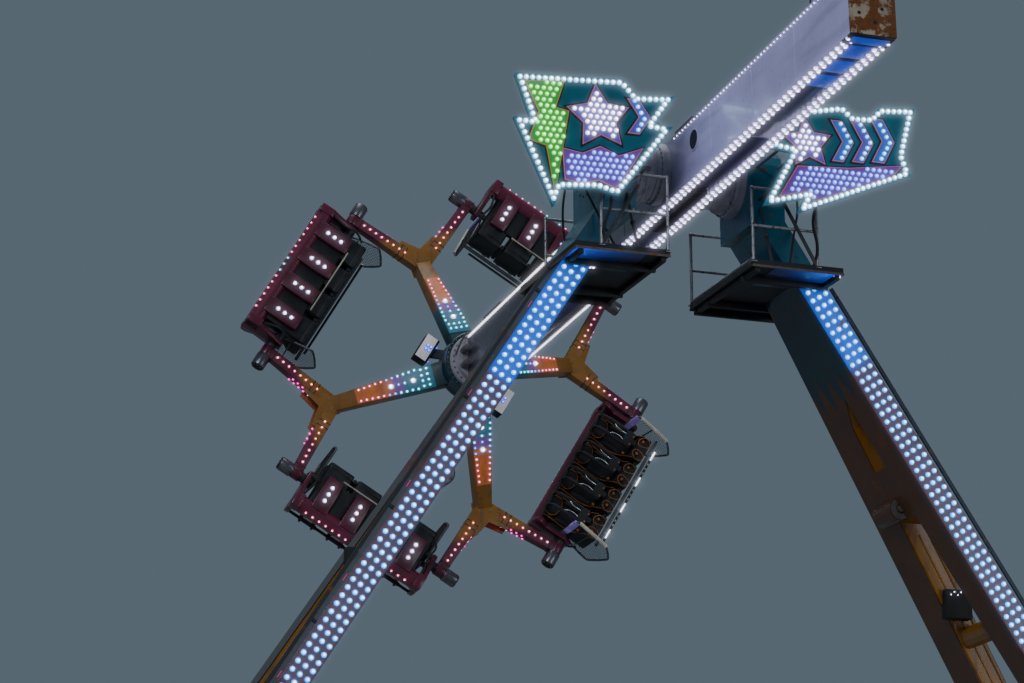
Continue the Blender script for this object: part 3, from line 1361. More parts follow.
@dataclass
class Arm:
    """The arm with its counterweight, in the frame of its own axis."""

    back_y: float = -5.95
    front_y: float = 8.2
    half_middle: float = 0.265
    taper: float = 0.004
    low: float = -0.455
    high: float = 0.355
    lamp_pitch: float = 0.152
    edge_pitch: float = 0.1
    strip_from: float = 1.6
    hole: Flat = (-1.2, 0.05)
    hole_radius: float = 0.13
    seams: tuple[float, ...] = (-3.1, -1.75, 1.35, 2.9, 4.5, 6.2)
    panel_ends: tuple[float, ...] = (-5.85, -2.65, 0.6, 3.3, 5.8, 8.1)
    plate_holes: tuple[Flat, ...] = ((-0.17, 0.24), (0.16, 0.22), (-0.05, 0.05), (0.12, -0.12),
                                     (-0.18, -0.2), (0.02, -0.3), (0.2, 0.03))
    lamp_rows: tuple[Flat, ...] = ((0.03, 0.0), (0.1, 0.5))
    under_lamp: float = 0.031
    edge_lamp: float = 0.013
    chain_links: int = 26
    chain_pitch: float = 0.06
    boxes: tuple[Point, ...] = ((-0.9, -0.3, 0.16), (1.0, 1.45, 0.12), (6.9, 7.7, 0.14))

    def half(self, y: float) -> float:
        """Half the arm's width at a place along it."""
        return self.half_middle - self.taper * y

    def build(self) -> None:
        """Makes the arm's pieces."""
        dress("arm", LILAC, 0.012)
        dress("counterweight", LILAC, 0.012)
        dress("arm_end_plate", BEIGE, 0.006)
        self.add_lamps()
        self.add_trim()
        self.add_end()
        self.add_machinery()

    def add_lamps(self) -> None:
        """Puts lamps under the arm's edges and along its top edges, with light strips further out."""
        count = int((self.front_y - self.back_y - 0.3) / self.lamp_pitch)
        under = []
        for index in range(count):
            for way in (-1, 1):
                for depth, shift in self.lamp_rows:
                    y = self.back_y + 0.12 + (index + shift) * self.lamp_pitch
                    if y < self.strip_from:
                        under.append(facing((way * (self.half(y) - depth), y, self.low), -UP))
        lamps("arm_under_lamps", Lamp.WHITE, self.under_lamp, under, ARM_FRAME, "arm", "lilac_gloss")
        steps = int((self.front_y - self.back_y - 0.5) / self.edge_pitch)
        top = []
        for index in range(steps):
            y = self.back_y + 0.3 + index * self.edge_pitch
            if y < -self.high - 0.1:
                top += [facing((way * self.half(y), y, self.high - 0.04), (way, 0, 0)) for way in (-1, 1)]
        lamps("arm_edge_lamps", Lamp.WHITE, self.edge_lamp, top, ARM_FRAME, "arm", "lilac_gloss")
        strips = Shape(ARM_FRAME)
        runs = ((self.strip_from, -0.02, self.low), (self.high + 0.15, 0.0, self.high - 0.03))
        for way in (-1, 1):
            for start, edge, rise in runs:
                ends = [(way * (self.half(y) + edge), y, rise) for y in (start, self.front_y - 0.05)]
                strips.beam(*ends, UP, (0.03, 0.02), bevel=0.002)
        strips.done("arm_light_strips", STOCK.all(STRIP_LIGHT), "arm", "lilac_gloss")

    def add_trim(self) -> None:
        """Adds seams, edge strips, the underside's panels and the side's round opening."""
        shape = Shape(ARM_FRAME)
        shape.finish = 2
        low, high = self.low, self.high
        for y in self.seams:
            for way in (-1, 1):
                x = way * self.half(y)
                shape.box((x - 0.003, y - 0.01, low + 0.05), (x + 0.003, y + 0.01, high - 0.07), 0.001)
        shape.finish = 0
        at, rise = self.hole
        side = self.half(at)
        for way in (-1, 1):
            shape.rod((way * (side - 0.004), at, rise), (way * (side + 0.004), at, rise), self.hole_radius,
                      sides=32)
        shape.finish = 1
        for start, end in zip(self.panel_ends, self.panel_ends[1:]):
            shape.beam((0, start, low - 0.004), (0, end - 0.05, low - 0.004), ACROSS,
                       (2 * self.half(start) - 0.27, 0.008), (2 * self.half(end) - 0.27, 0.008), 0.002)
        shape.finish = 2
        r = self.hole_radius
        for way in (-1, 1):
            shape.ring((way * (side + 0.003), at, rise), ACROSS, r, r + 0.02, 0.014)
            for z, thick in ((high - 0.006, 0.02), (low + 0.012, 0.03)):
                for start, end in ((self.back_y, -0.45), (0.45, self.front_y)):
                    shape.beam((way * self.half(start), start, z), (way * self.half(end), end, z), UP,
                               (thick, 0.012), bevel=0.003)
        shape.done("arm_trim", STOCK.all(SIGN_DARK, DIM_PURPLE, LILAC), "arm", "lilac_gloss")

    def add_end(self) -> None:
        """Finishes the counterweight's end: holes, lifting loops, lit panels and their frame."""
        shape = Shape(ARM_FRAME)
        back, low, high = self.back_y, self.low, self.high
        face = back - 0.0403
        for x, z in self.plate_holes:
            shape.rod((x, face - 0.002, z), (x, face + 0.01, z), 0.022, sides=16)
        shape.box((-0.28, back - 0.03, low - 0.03), (0.28, back + 0.25, low), 0.006)
        shape.finish = 1
        for start in (back + 0.3, back + 0.75, back + 1.2):
            shape.box((-0.14, start, low - 0.012), (0.14, start + 0.36, low - 0.002), 0.004)
        shape.box((-0.24, back + 0.02, low - 0.036), (0.24, back + 0.2, low - 0.028), 0.004)
        shape.finish = 2
        x = -self.half(back) + 0.03
        for y in (back + 0.12, back + 0.9):
            shape.pipes([[(x, y, high - 0.02), (x, y + 0.01, high + 0.1), (x, y + 0.09, high + 0.15),
                          (x, y + 0.17, high + 0.1), (x, y + 0.18, high - 0.02)]], 0.012)
        shape.done("arm_end_fittings", STOCK.all(SIGN_DARK, LIT_BLUE, RUBBER), "arm", "beige_paint")

    def add_machinery(self) -> None:
        """Adds the cable chain under the pivot and the hoses and boxes on the arm's back."""
        shape = Shape(ARM_FRAME)
        for index in range(self.chain_links):
            y = -0.75 + index * self.chain_pitch
            shape.box((-0.09, y, self.low - 0.055), (0.09, y + 0.045, self.low - 0.004), 0.006)
        top = self.high
        for start, end, wide in self.boxes:
            shape.box((-wide, start, top), (wide, end, top + 0.16), 0.012)
        arch = ((-0.3, 0.06), (0.1, 0.09), (0.6, 0.03), (1.0, 0.06))
        shape.pipes([[(x, y, top + rise) for y, rise in arch] for x in (-0.09, -0.03, 0.04)], 0.014)
        shape.pipes([[(x, y, top + 0.018) for y in (1.4, 3.0, 5.0, 6.95)] for x in (0.06, 0.1)], 0.014)
        shape.done("arm_machinery", STOCK.all(RUBBER), "arm", "lilac_gloss")


@dataclass
class Spider:
    """The drive, the hub and four forked spokes that carry the rows.

    The names in capitals are the numbers of a spoke's finishes.
    """

    SIDES, PRONG, BOARD, SEAL, DRUM, BOSS, BOLT = range(7)

    drive_radius: float = 0.39
    flange_radius: float = 0.46
    hub_y: Flat = (8.42, 8.84)
    hub_radius: float = 0.52
    cap: Flat = (0.36, 8.96)
    slope: float = math.radians(28.0)
    spoke_r: Flat = (0.33, 2.18)
    root_size: Flat = (0.40, 0.30)
    end_size: Flat = (0.23, 0.24)
    junction_r: float = 2.12
    prong_root: Flat = (2.06, 9.72)
    row_radius: float = 2.816
    prong_span: float = 1.382
    prong_size: Flat = (0.21, 0.23)
    tip_size: Flat = (0.165, 0.17)
    flood: Flat = (0.72, 9.14)
    flood_size: float = 1.2
    board: float = 0.016
    small_lamp: float = 0.019
    big_lamps_r: Flat = (0.855, 1.18)
    paint_run: float = 3.3
    side_stops: Stops = ((0.0, HUB_TEAL), (0.2, HUB_TEAL), (0.335, TEAL), (0.36, OCHRE))
    prong_stops: Stops = ((0.0, OCHRE), (0.75, OCHRE), (0.79, BURGUNDY))
    board_stops: Stops = ((0.0, TEAL), (0.315, TEAL), (0.335, MAUVE), (0.365, MAUVE), (0.38, ORANGE))
    plate_outline: tuple[Flat, ...] = ((1.93, -0.12), (1.93, 0.12), (2.14, 0.14), (2.42, 0.40), (2.52, 0.27),
                                       (2.34, 0.0), (2.52, -0.27), (2.42, -0.40), (2.14, -0.14))
    plates_y: Flat = (9.592, 9.846)
    plate_bolts: tuple[Flat, ...] = ((2.0, 0.07), (2.16, 0.08), (2.38, 0.3), (2.44, 0.25))

    def centre_y(self, r: float) -> float:
        """The middle of a spoke's depth at a radius."""
        return 9.6 - (self.junction_r - r) * math.tan(self.slope) + 0.14

    def on_spoke(self, r: float, across: float, out: float = 0.0) -> Point:
        """A point of a spoke's face on the arm's side.

        Args:
            r: the distance from the hub's axis.
            across: the distance from the spoke's middle.
            out: how far it stands off the face.

        Returns:
            The point in the spoke's frame.
        """
        share = (r - self.spoke_r[0]) / (self.spoke_r[1] - self.spoke_r[0])
        depth = self.root_size[1] + (self.end_size[1] - self.root_size[1]) * share
        off = depth / 2 + out
        return (r + off * math.sin(self.slope), self.centre_y(r) - off * math.cos(self.slope), across)

    @property
    def face(self) -> Point:
        """The way in which that face looks, in the spoke's frame."""
        return (math.sin(self.slope), -math.cos(self.slope), 0.0)

    def spoke_frame(self, index: int) -> Matrix:
        """The frame of a spoke: X outwards, Y along the arm."""
        angle = FIRST_SPOKE + (index - 1) * math.pi / 2
        out = Vector((math.cos(angle), 0.0, math.sin(angle)))
        return ARM_FRAME @ local_frame(Vector(), out, BACKWARD, out.cross(BACKWARD))

    def tip(self, way: int, reach: float) -> Point:
        """A point of the row's axis beside a prong, as far along it as stated."""
        part = math.sqrt(0.5)
        return ((self.row_radius + reach) * part, ROW_AXIS_Y, way * (self.row_radius - reach) * part)

    def prong_ends(self, way: int) -> tuple[Vector, Vector]:
        """The middles of a prong's root and of its tip."""
        return Vector((*self.prong_root, 0.0)), Vector(self.tip(way, self.prong_span))

    def prong_at(self, share: float) -> Flat:
        """A prong's width and depth at a share of its length."""
        return tuple(a + (b - a) * share for a, b in zip(self.prong_size, self.tip_size))

    def build(self) -> None:
        """Makes the drive, the hub, the floodlights and the four spokes."""
        self.add_drive()
        self.add_hub()
        for index in ROWS:
            self.add_spoke(index)
            self.add_spoke_lamps(index)

    def add_drive(self) -> None:
        """Turns the drive on the arm's end, with motors and bolts."""
        shape = Shape(ARM_FRAME)
        r, f = self.drive_radius, self.flange_radius
        shape.turned([(0, 8.2003), (r, 8.2003), (r, 8.26), (r - 0.01, 8.265), (r - 0.01, 8.275), (r, 8.28),
                      (r, 8.33), (f - 0.01, 8.33), (f, 8.34), (f, 8.37), (f - 0.01, 8.376), (f, 8.382),
                      (f, 8.4195), (0, 8.4195)], Vector(), BACKWARD, 64)
        shape.finish = 1
        bolts(shape, 0.013, circle_of((0, 8.33, 0), FORWARD, 0.425, 28))
        shape.finish = 2
        for x, z in ((-0.31, 0.1), (-0.31, -0.14), (0.31, 0.1), (0.31, -0.14)):
            shape.rod((x, 7.98, z), (x, 8.21, z), 0.05, sides=14, bevel=0.006)
        shape.pipes([[(way * 0.2, 7.9, 0.36), (way * 0.3, 8.05, 0.34), (way * 0.36, 8.2, 0.2),
                      (way * 0.4, 8.3, 0.05)] for way in (-1, 1)], 0.014)
        shape.done("spider_drive_unit", STOCK.all(RING_STEEL, ZINC_BOLT, GREY_MOTOR), "arm",
                   "bearing_steel", ["spider_drive"])

    def add_hub(self) -> None:
        """Turns the hub and hangs floodlights between the spokes."""
        shape = Shape(ARM_FRAME)
        y0, y1 = self.hub_y
        r = self.hub_radius
        cap_r, cap_y = self.cap
        shape.turned([(0, y0), (r - 0.012, y0), (r, y0 + 0.012), (r, y0 + 0.05), (r - 0.02, y0 + 0.07),
                      (r - 0.02, y1 - 0.07), (r, y1 - 0.05), (r, y1 - 0.012), (r - 0.012, y1), (cap_r, y1),
                      (cap_r, cap_y - 0.03), (cap_r - 0.03, cap_y), (0, cap_y)], Vector(), BACKWARD, 64)
        shape.finish = 1
        bolts(shape, 0.014, circle_of((0, y1, 0), BACKWARD, 0.44, 24))
        bolts(shape, 0.012, circle_of((0, cap_y - 0.003, 0), BACKWARD, 0.28, 12))
        bolts(shape, 0.012, circle_of((0, y0 + 0.004, 0), FORWARD, 0.492, 36))
        places = []
        for angle in (FIRST_SPOKE + math.pi / 4, FIRST_SPOKE + 5 * math.pi / 4):
            out = Vector((math.cos(angle), 0.0, math.sin(angle)))
            place = local_frame(out * self.flood[0] + BACKWARD * self.flood[1],
                                out.cross(BACKWARD).normalized(), FORWARD, out)
            places.append(place @ Matrix.Scale(self.flood_size, 4))
        shape.finish = 2
        shape.strewn(self.floodlight, places)
        shape.done("spider_hub_unit", STOCK.all(HUB_PAINT, ZINC_BOLT, FLOOD_FACE, RUBBER), "spider",
                   "teal_paint", ["spider_hub"])
        leds = [facing((x, 0.102, z), BACKWARD) for x in (-0.03, 0.03) for z in (-0.02, 0.03)]
        leds += [facing((x, 0.0, -0.087), -UP) for x in (-0.12, 0.0, 0.12)]
        spots = [place @ spot for place in places for spot in leds]
        lamps("floodlight_leds", Lamp.BLUE, 0.018, spots, ARM_FRAME, "spider", "teal_paint")

    @staticmethod
    def floodlight(shape: Shape) -> None:
        """Fills a shape with a floodlight that looks along +Y and hangs outside the hub, out being +Z."""
        shape.box((-0.18, 0.085, -0.055), (0.18, 0.1, 0.105), 0.004)
        shape.finish = 1
        shape.box((-0.19, -0.1, -0.085), (0.19, 0.09, 0.11), 0.012)
        for x in (-0.15, -0.1, -0.05, 0.0, 0.05, 0.1, 0.15):
            shape.box((x - 0.006, -0.13, -0.07), (x + 0.006, -0.098, 0.07), 0.0)
        shape.beam((0, 0.0, -0.07), (0, 0.32, -0.3), ACROSS, (0.14, 0.03), bevel=0.003)

    def add_spoke(self, index: int) -> None:
        """Builds a spoke with its board, junction plates, prongs, bosses and drums."""
        shape = Shape(self.spoke_frame(index))
        near, far = self.spoke_r
        shape.beam((near, self.centre_y(near), 0), (far, self.centre_y(far), 0), UP, self.root_size,
                   self.end_size, 0.014)
        for way in (-1, 1):
            self.add_prong(shape, way)
        self.add_plates(shape)
        finishes = STOCK.all(
            self.paint("paint", OCHRE, index, self.side_stops, dirt=0.4, rust=0.2, grain=2.0),
            self.paint("prongs", OCHRE, index, self.prong_stops, dirt=0.4, rust=0.2, grain=2.0),
            self.paint("board", TEAL, index, self.board_stops, dirt=0.35, grain=3.0, glow=0.25),
            RUBBER, DRUM_METAL, BURGUNDY_PAINT, ZINC_BOLT)
        shape.done(f"spoke_arm_{index}", finishes, "spider", "ochre_paint", [f"spoke_{index}"])

    def add_prong(self, shape: Shape, way: int) -> None:
        """Adds one prong with its joints, its bearing boss and its drum."""
        root, end = self.prong_ends(way)
        across = (-way, 0.0, 1.0)
        shape.finish = self.PRONG
        shape.beam(root, end, across, self.prong_size, self.tip_size, 0.012)
        shape.finish = self.SEAL
        for share, thick in ((0.27, 0.012), (0.34, 0.012), (0.9, 0.016)):
            middle = root.lerp(end, share)
            size = tuple(s + 0.008 for s in self.prong_at(share))
            shape.beam(middle, middle + (end - root).normalized() * thick, across, size, bevel=0.001)
        inner, outer, last, cap = (self.tip(way, self.prong_span + d) for d in (-0.09, 0.075, 0.3, 0.313))
        for finish, start, stop, radius, bevel in ((self.BOSS, inner, outer, 0.1, 0.008),
                                                   (self.DRUM, outer, last, 0.112, 0.01),
                                                   (self.SEAL, last, cap, 0.1, 0.004)):
            shape.finish = finish
            shape.rod(start, stop, radius, sides=28, bevel=bevel)
        shape.finish = self.BOLT
        bolts(shape, 0.009, circle_of(cap, Vector(last) - Vector(outer), 0.08, 8))

    def add_plates(self, shape: Shape) -> None:
        """Adds the lamp board, the junction's plates and their bolts to a spoke."""
        shape.finish = self.BOARD
        half = self.board / 2
        shape.beam(self.on_spoke(0.56, 0, half), self.on_spoke(1.70, 0, half), UP, (0.385, self.board),
                   (0.235, self.board), 0.004)
        shape.finish = self.SIDES
        for y in self.plates_y:
            shape.slab([(r, y, t) for r, t in self.plate_outline], (0, 0.012, 0), 0.003)
        shape.finish = self.BOLT
        spots = [(r, self.plates_y[0], way * t) for way in (-1, 1) for r, t in self.plate_bolts]
        bolts(shape, 0.012, all_facing(spots, FORWARD))

    def paint(self, name: str, colour: Colour, index: int, stops: Stops, **finish: float) -> Paint:
        """A spoke's paint, in bands that run out along it.

        Args:
            name: what the paint is on.
            colour: its plain colour.
            index: the spoke's number.
            stops: the bands.
            finish: the paint's further sizes.

        Returns:
            The paint.
        """
        out = self.spoke_frame(index).to_3x3() @ ACROSS
        bands = Bands(tuple(ARM_FRAME @ BACKWARD), tuple(out), self.paint_run, stops)
        return Paint(f"spoke_{index}_{name}", colour, bands, gloss=0.45, shine=0.1, **finish)

    def add_spoke_lamps(self, index: int) -> None:
        """Puts the lamps on a spoke's board and prongs."""
        place = self.spoke_frame(index)
        edge = [(0.81 + 0.083 * i, way * (0.155 - 0.0064 * i)) for i in range(11) for way in (-1, 1)]
        cool = [(r, t) for r in (0.638, 0.724) for t in (-0.135, -0.045, 0.045, 0.135)]
        cool += [p for p in edge if p[0] < 1.1] + [(0.98, 0.0)]
        mauve = [p for p in edge if 1.1 < p[0] < 1.28] + [(1.07, 0.0)]
        pink = [p for p in edge if p[0] > 1.28]
        warm, hot, inner = [], [], []
        for way in (-1, 1):
            root, end = self.prong_ends(way)
            axis = (end - root).normalized()
            notch = (ACROSS - axis * axis.x).normalized()
            for i in range(8):
                share = 0.27 + 0.084 * i
                lamp = facing(root.lerp(end, share) - BACKWARD * self.prong_at(share)[1] / 2, FORWARD)
                (warm if i < 4 else hot).append(lamp)
            for i in range(12):
                share = 0.2 + 0.036 * i
                off = notch * self.prong_at(share)[0] / 2 + BACKWARD * (0.05 if i % 2 else -0.05)
                inner.append(facing(root.lerp(end, share) + off, notch))
        big = [(r, 0.0) for r in self.big_lamps_r]
        small = self.small_lamp
        for kind, lamp, radius, flat in (("cool", Lamp.CYAN, 0.02, cool),
                                         ("mauve", Lamp.VIOLET, 0.02, mauve),
                                         ("edge", Lamp.PINK, small, pink),
                                         ("big", Lamp.WHITE, 0.04, big)):
            places = all_facing([self.on_spoke(r, t, self.board) for r, t in flat], self.face)
            lamps(f"spoke_{index}_{kind}_lamps", lamp, radius, places, place, "spider", "ochre_paint")
        for kind, lamp, places in (("warm", Lamp.WARM, warm), ("hot", Lamp.PINK, hot),
                                   ("notch", Lamp.MAGENTA, inner)):
            lamps(f"prongs_{index}_{kind}_lamps", lamp, small, places, place, "spider", "ochre_paint")


@dataclass
class Row:
    """One row of four seats between two prongs: X along the row, +Y to its front, +Z to the headrests."""

    index: int
    beam_half: float = 1.22
    tube: Flat = (-0.165, 0.44)
    tube_radius: float = 0.14
    fin_half: float = 0.14
    fin_y: Flat = (-0.32, -0.23)
    fin_z: Flat = (-0.17, 0.43)
    arm_thick: float = 0.08
    harness_axis: Flat = (0.165, 0.52)
    strap_x: float = 0.115
    guard_x: float = 1.075
    guard_loop: tuple[Flat, ...] = ((0.02, 0.10), (0.75, 0.06), (0.56, -0.60), (0.16, -0.82),
                                    (-0.38, -0.60), (-0.23, -0.24))
    guard_front: tuple[Flat, ...] = ((0.718, 0.0), (0.664, -0.2), (0.596, -0.44), (0.543, -0.585))
    mesh_cell: float = 0.045
    mesh_wire: float = 0.007
    rim_lamps: int = 16
    rim_pitch: float = 0.125
    rim_lamp: float = 0.018
    fin_lamp: float = 0.03
    fin_lamps_z: tuple[float, ...] = (0.24, 0.115, -0.01)
    arm_outline: tuple[Flat, ...] = ((-0.27, 0.56), (-0.3, 0.33), (-0.15, -0.13), (0.06, -0.15), (0.15, 0.0),
                                     (0.12, 0.33), (0.215, 0.46), (0.215, 0.55), (0.06, 0.58))

    def __post_init__(self) -> None:
        """Works out the row's frame from the joints."""
        swing = joint(f"gondola_{self.index}_swing")
        centre = Vector(swing["pos_m"])
        row = Vector(swing["axis"])
        lift = Vector(joint(f"harness_{self.index}_lift")["pos_m"]) - centre
        front = ALONG * math.copysign(1.0, lift.dot(ALONG))
        self.frame = local_frame(centre, row, front, row.cross(front))
        self.body = f"gondola_{self.index}"

    def build(self) -> None:
        """Makes the row's pieces."""
        self.add_frame()
        self.add_lamps()
        self.add_seats()
        self.add_piping()
        self.add_restraints()
        self.add_guards()
        self.add_fittings()

    def add_frame(self) -> None:
        """Builds the round beam, the fins, the end arms, the cross tube and the shafts."""
        shape = Shape(self.frame)
        h = self.beam_half
        w = self.fin_half
        low, high = self.fin_z
        for x in SEAT_MIDDLES:
            outline = [(-w, high), (-w, 0.06), (0.01 - w, low), (w - 0.01, low), (w, 0.06), (w, high)]
            shape.slab([(x + at, self.fin_y[0], z) for at, z in outline],
                       (0, self.fin_y[1] - self.fin_y[0], 0), 0.012)
        for way in (-1, 1):
            x = way * (h - self.arm_thick)
            shape.slab([(x, y, z) for y, z in self.arm_outline], (way * self.arm_thick, 0, 0), 0.014)
        shape.finish = 1
        y, z = self.tube
        shape.rod((0.02 - h, y, z), (h - 0.02, y, z), self.tube_radius, sides=32)
        for way in (-1, 1):
            x = way * (h - 0.07)
            shape.box((x - 0.07, y - 0.15, z - 0.12), (x + 0.07, y + 0.1, z + 0.13), 0.014)
        shape.finish = 2
        shape.rod((-h, -0.12, -0.07), (h, -0.12, -0.07), 0.045, sides=20)
        for way in (-1, 1):
            shape.rod((way * (h - 0.02), 0, 0), (way * 1.2915, 0, 0), 0.08, sides=24, bevel=0.004)
            bolts(shape, 0.01, circle_of((way * h, 0, 0), (way, 0, 0), 0.108, 8))
        shape.finish = 3
        for left, right in zip(SEAT_MIDDLES, SEAT_MIDDLES[1:]):
            shape.box((left + w + 0.006, -0.25, -0.14), (right - w - 0.006, -0.232, 0.42), 0.004)
        finishes = STOCK.all(BURGUNDY_PAINT, BURGUNDY_TUBE, DARK_STEEL, BLACK_PAINT)
        shape.done(f"row_{self.index}_frame", finishes, self.body, "burgundy",
                   [f"gondola_frame_{self.index}"])

    def add_lamps(self) -> None:
        """Puts lamps along the beam's outer edge and three on the back of each fin."""
        way = Vector((0.0, -0.64, 0.77))
        middle = Vector((0.0, *self.tube)) + way * self.tube_radius
        rim = all_facing([middle + ACROSS * ((i - (self.rim_lamps - 1) / 2) * self.rim_pitch)
                          for i in range(self.rim_lamps)], way)
        fins = all_facing([(x, self.fin_y[0], z) for x in SEAT_MIDDLES for z in self.fin_lamps_z], FORWARD)
        for kind, lamp, radius, places in (("rim", Lamp.PINK, self.rim_lamp, rim[:6] + rim[9:]),
                                           ("middle", Lamp.CYAN, self.rim_lamp, rim[6:9]),
                                           ("fin", Lamp.WHITE, self.fin_lamp, fins)):
            lamps(f"row_{self.index}_{kind}_lamps", lamp, radius, places, self.frame, self.body, "burgundy")

    @staticmethod
    def seat(shape: Shape) -> None:
        """Fills a shape with one moulded seat about its own middle."""
        shape.box((-0.215, -0.2297, -0.34), (0.215, -0.165, 0.395), 0.03, 3)
        shape.box((-0.222, -0.2297, -0.43), (0.222, 0.33, -0.31), 0.035, 3)
        wing = [(-0.19, 0.37), (-0.03, 0.47), (0.06, 0.46), (0.055, 0.30), (0.02, 0.1), (0.07, -0.06),
                (0.2, -0.16), (0.33, -0.25), (0.335, -0.42), (-0.19, -0.42)]
        for way in (-1, 1):
            shape.slab([(way * 0.19, y, z) for y, z in wing], (way * 0.034, 0, 0), 0.012)
        shape.finish = 1
        shape.pad((-0.15, -0.03, 0.28), (0.15, 0.10, 0.5), 0.5)
        for x in (-0.185, 0.12):
            shape.pad((x, -0.05, 0.36), (x + 0.065, 0.09, 0.49), 0.6, 4)
        shape.pad((-0.165, -0.17, -0.30), (0.165, 0.045, 0.3), 0.35)
        for way in (-1, 1):
            inner, outer = sorted((way * 0.12, way * 0.2))
            shape.pad((inner, -0.12, -0.12), (outer, 0.08, 0.3), 0.6, 4)
            shape.pad((inner, -0.1, -0.34), (outer, 0.32, -0.2), 0.6, 4)
        shape.pad((-0.16, -0.14, -0.345), (0.16, 0.335, -0.235), 0.4)

    def add_seats(self) -> None:
        """Moulds the row's seats."""
        shape = Shape(self.frame)
        shape.strewn(self.seat, [Matrix.Translation((x, 0, 0)) for x in SEAT_MIDDLES])
        shape.done(f"row_{self.index}_seats", STOCK.all(VINYL, CUSHION), self.body, "seat_black",
                   [f"seat_row_{self.index}"], 50.0)

    def add_piping(self) -> None:
        """Runs orange piping round the headrests, wings and knees."""
        shape = Shape(self.frame)
        wings, knees, heads = [], [], []
        for x in SEAT_MIDDLES:
            for way in (-1, 1):
                at = x + way * 0.209
                wings.append([(at, -0.04, 0.475), (at, 0.05, 0.465), (at, 0.06, 0.3), (at, 0.028, 0.1),
                              (at, 0.078, -0.055), (at, 0.205, -0.152), (at, 0.335, -0.245)])
                inner = x + way * 0.06
                knees.append([(inner, 0.325, -0.235), (inner + way * 0.12, 0.34, -0.26),
                              (inner + way * 0.14, 0.345, -0.36), (inner + way * 0.05, 0.34, -0.42),
                              (inner - way * 0.01, 0.335, -0.34)])
            heads.append([(x - 0.14, 0.09, 0.33), (x - 0.16, 0.085, 0.46), (x, 0.1, 0.5),
                          (x + 0.16, 0.085, 0.46), (x + 0.14, 0.09, 0.33), (x, 0.1, 0.29)])
        shape.pipes(wings, 0.007)
        shape.pipes(knees, 0.0065, True)
        shape.pipes(heads, 0.006, True)
        shape.done(f"row_{self.index}_piping", STOCK.all(PIPING), self.body, "seat_black")

    def add_restraints(self) -> None:
        """Bends the shoulder bars and pads them."""
        shape = Shape(self.frame)
        y, z = self.harness_axis
        end = self.beam_half - self.arm_thick - 0.001
        shape.rod((-end, y, z), (end, y, z), 0.024, sides=16)
        bars, pads, grips, knobs = [], [], [], []
        for x in SEAT_MIDDLES:
            shape.rod((x - 0.16, y, z), (x + 0.16, y, z), 0.034, sides=16, bevel=0.004)
            for way in (-1, 1):
                at = x + way * self.strap_x
                bars.append([(at, y, z), (at, 0.26, 0.525), (at, 0.34, 0.49), (at, 0.366, 0.4),
                             (at, 0.366, 0.16), (at, 0.362, -0.05)])
                pads.append([(at, 0.34, 0.47), (at, 0.362, 0.36), (at, 0.364, 0.2), (at, 0.36, 0.02)])
                grips.append([(x + way * 0.06, 0.375, 0.02), (x + way * 0.05, 0.398, 0.12),
                              (x + way * 0.075, 0.39, 0.24), (at, 0.37, 0.28)])
                knobs.append(facing((x + way * 0.075, 0.4, -0.1), BACKWARD))
        shape.pipes(bars, 0.02)
        shape.finish = 1
        shape.pipes(pads, 0.034, round_steps=3)
        for x in SEAT_MIDDLES:
            shape.pad((x - 0.149, 0.32, -0.13), (x + 0.149, 0.405, 0.04), 0.45)
            shape.pad((x - 0.05, 0.33, -0.2), (x + 0.05, 0.395, -0.1), 0.5, 4)
        shape.finish = 2
        shape.pipes(grips, 0.012)
        shape.finish = 3
        bolts(shape, 0.012, knobs)
        shape.done(f"row_{self.index}_restraints", STOCK.all(BLACK_PAINT, CUSHION, CHROME, PIPING),
                   f"harness_{self.index}", "seat_black", [f"harness_{self.index}"], 50.0)

    def add_guards(self) -> None:
        """Bends the guards' loops, fills them with mesh and pads their upper tubes."""
        shape = Shape(self.frame)
        x = self.guard_x
        loop = eased(inset(self.guard_loop, 0.018), 0.07)
        shape.pipes([[(way * x, y, z) for y, z in loop] for way in (-1, 1)], 0.017, True, 3, 2)
        shape.box((-x, 0.30, -0.50), (x, 0.35, -0.45), 0.01)
        for way in (-1, 1):
            low, high = sorted((way * (self.beam_half - self.arm_thick), way * (x - 0.01)))
            shape.box((low, 0.015, 0.0), (high, 0.095, 0.08), 0.008)
            shape.rod((way * x, -0.12, -0.24), (way * x, 0.62, -0.28), 0.012, sides=10)
        shape.finish = 1
        for way in (-1, 1):
            shape.mesh_panel(inset(self.guard_loop, 0.03), way * x, self.mesh_cell, self.mesh_wire)
        shape.finish = 2
        shape.pipes([[(way * x, y, z) for y, z in self.guard_front] for way in (-1, 1)], 0.03, round_steps=4)
        shape.finish = 3
        for way in (-1, 1):
            shape.pad((way * x - 0.028, 0.10, -0.02), (way * x + 0.028, 0.70, 0.085), 0.35)
        shape.done(f"row_{self.index}_guards", STOCK.all(GUARD_TUBE, DARK_STEEL, PAD_CREAM, PAD_VIOLET),
                   self.body, "guard_mesh", [f"side_guards_{self.index}"], 50.0)

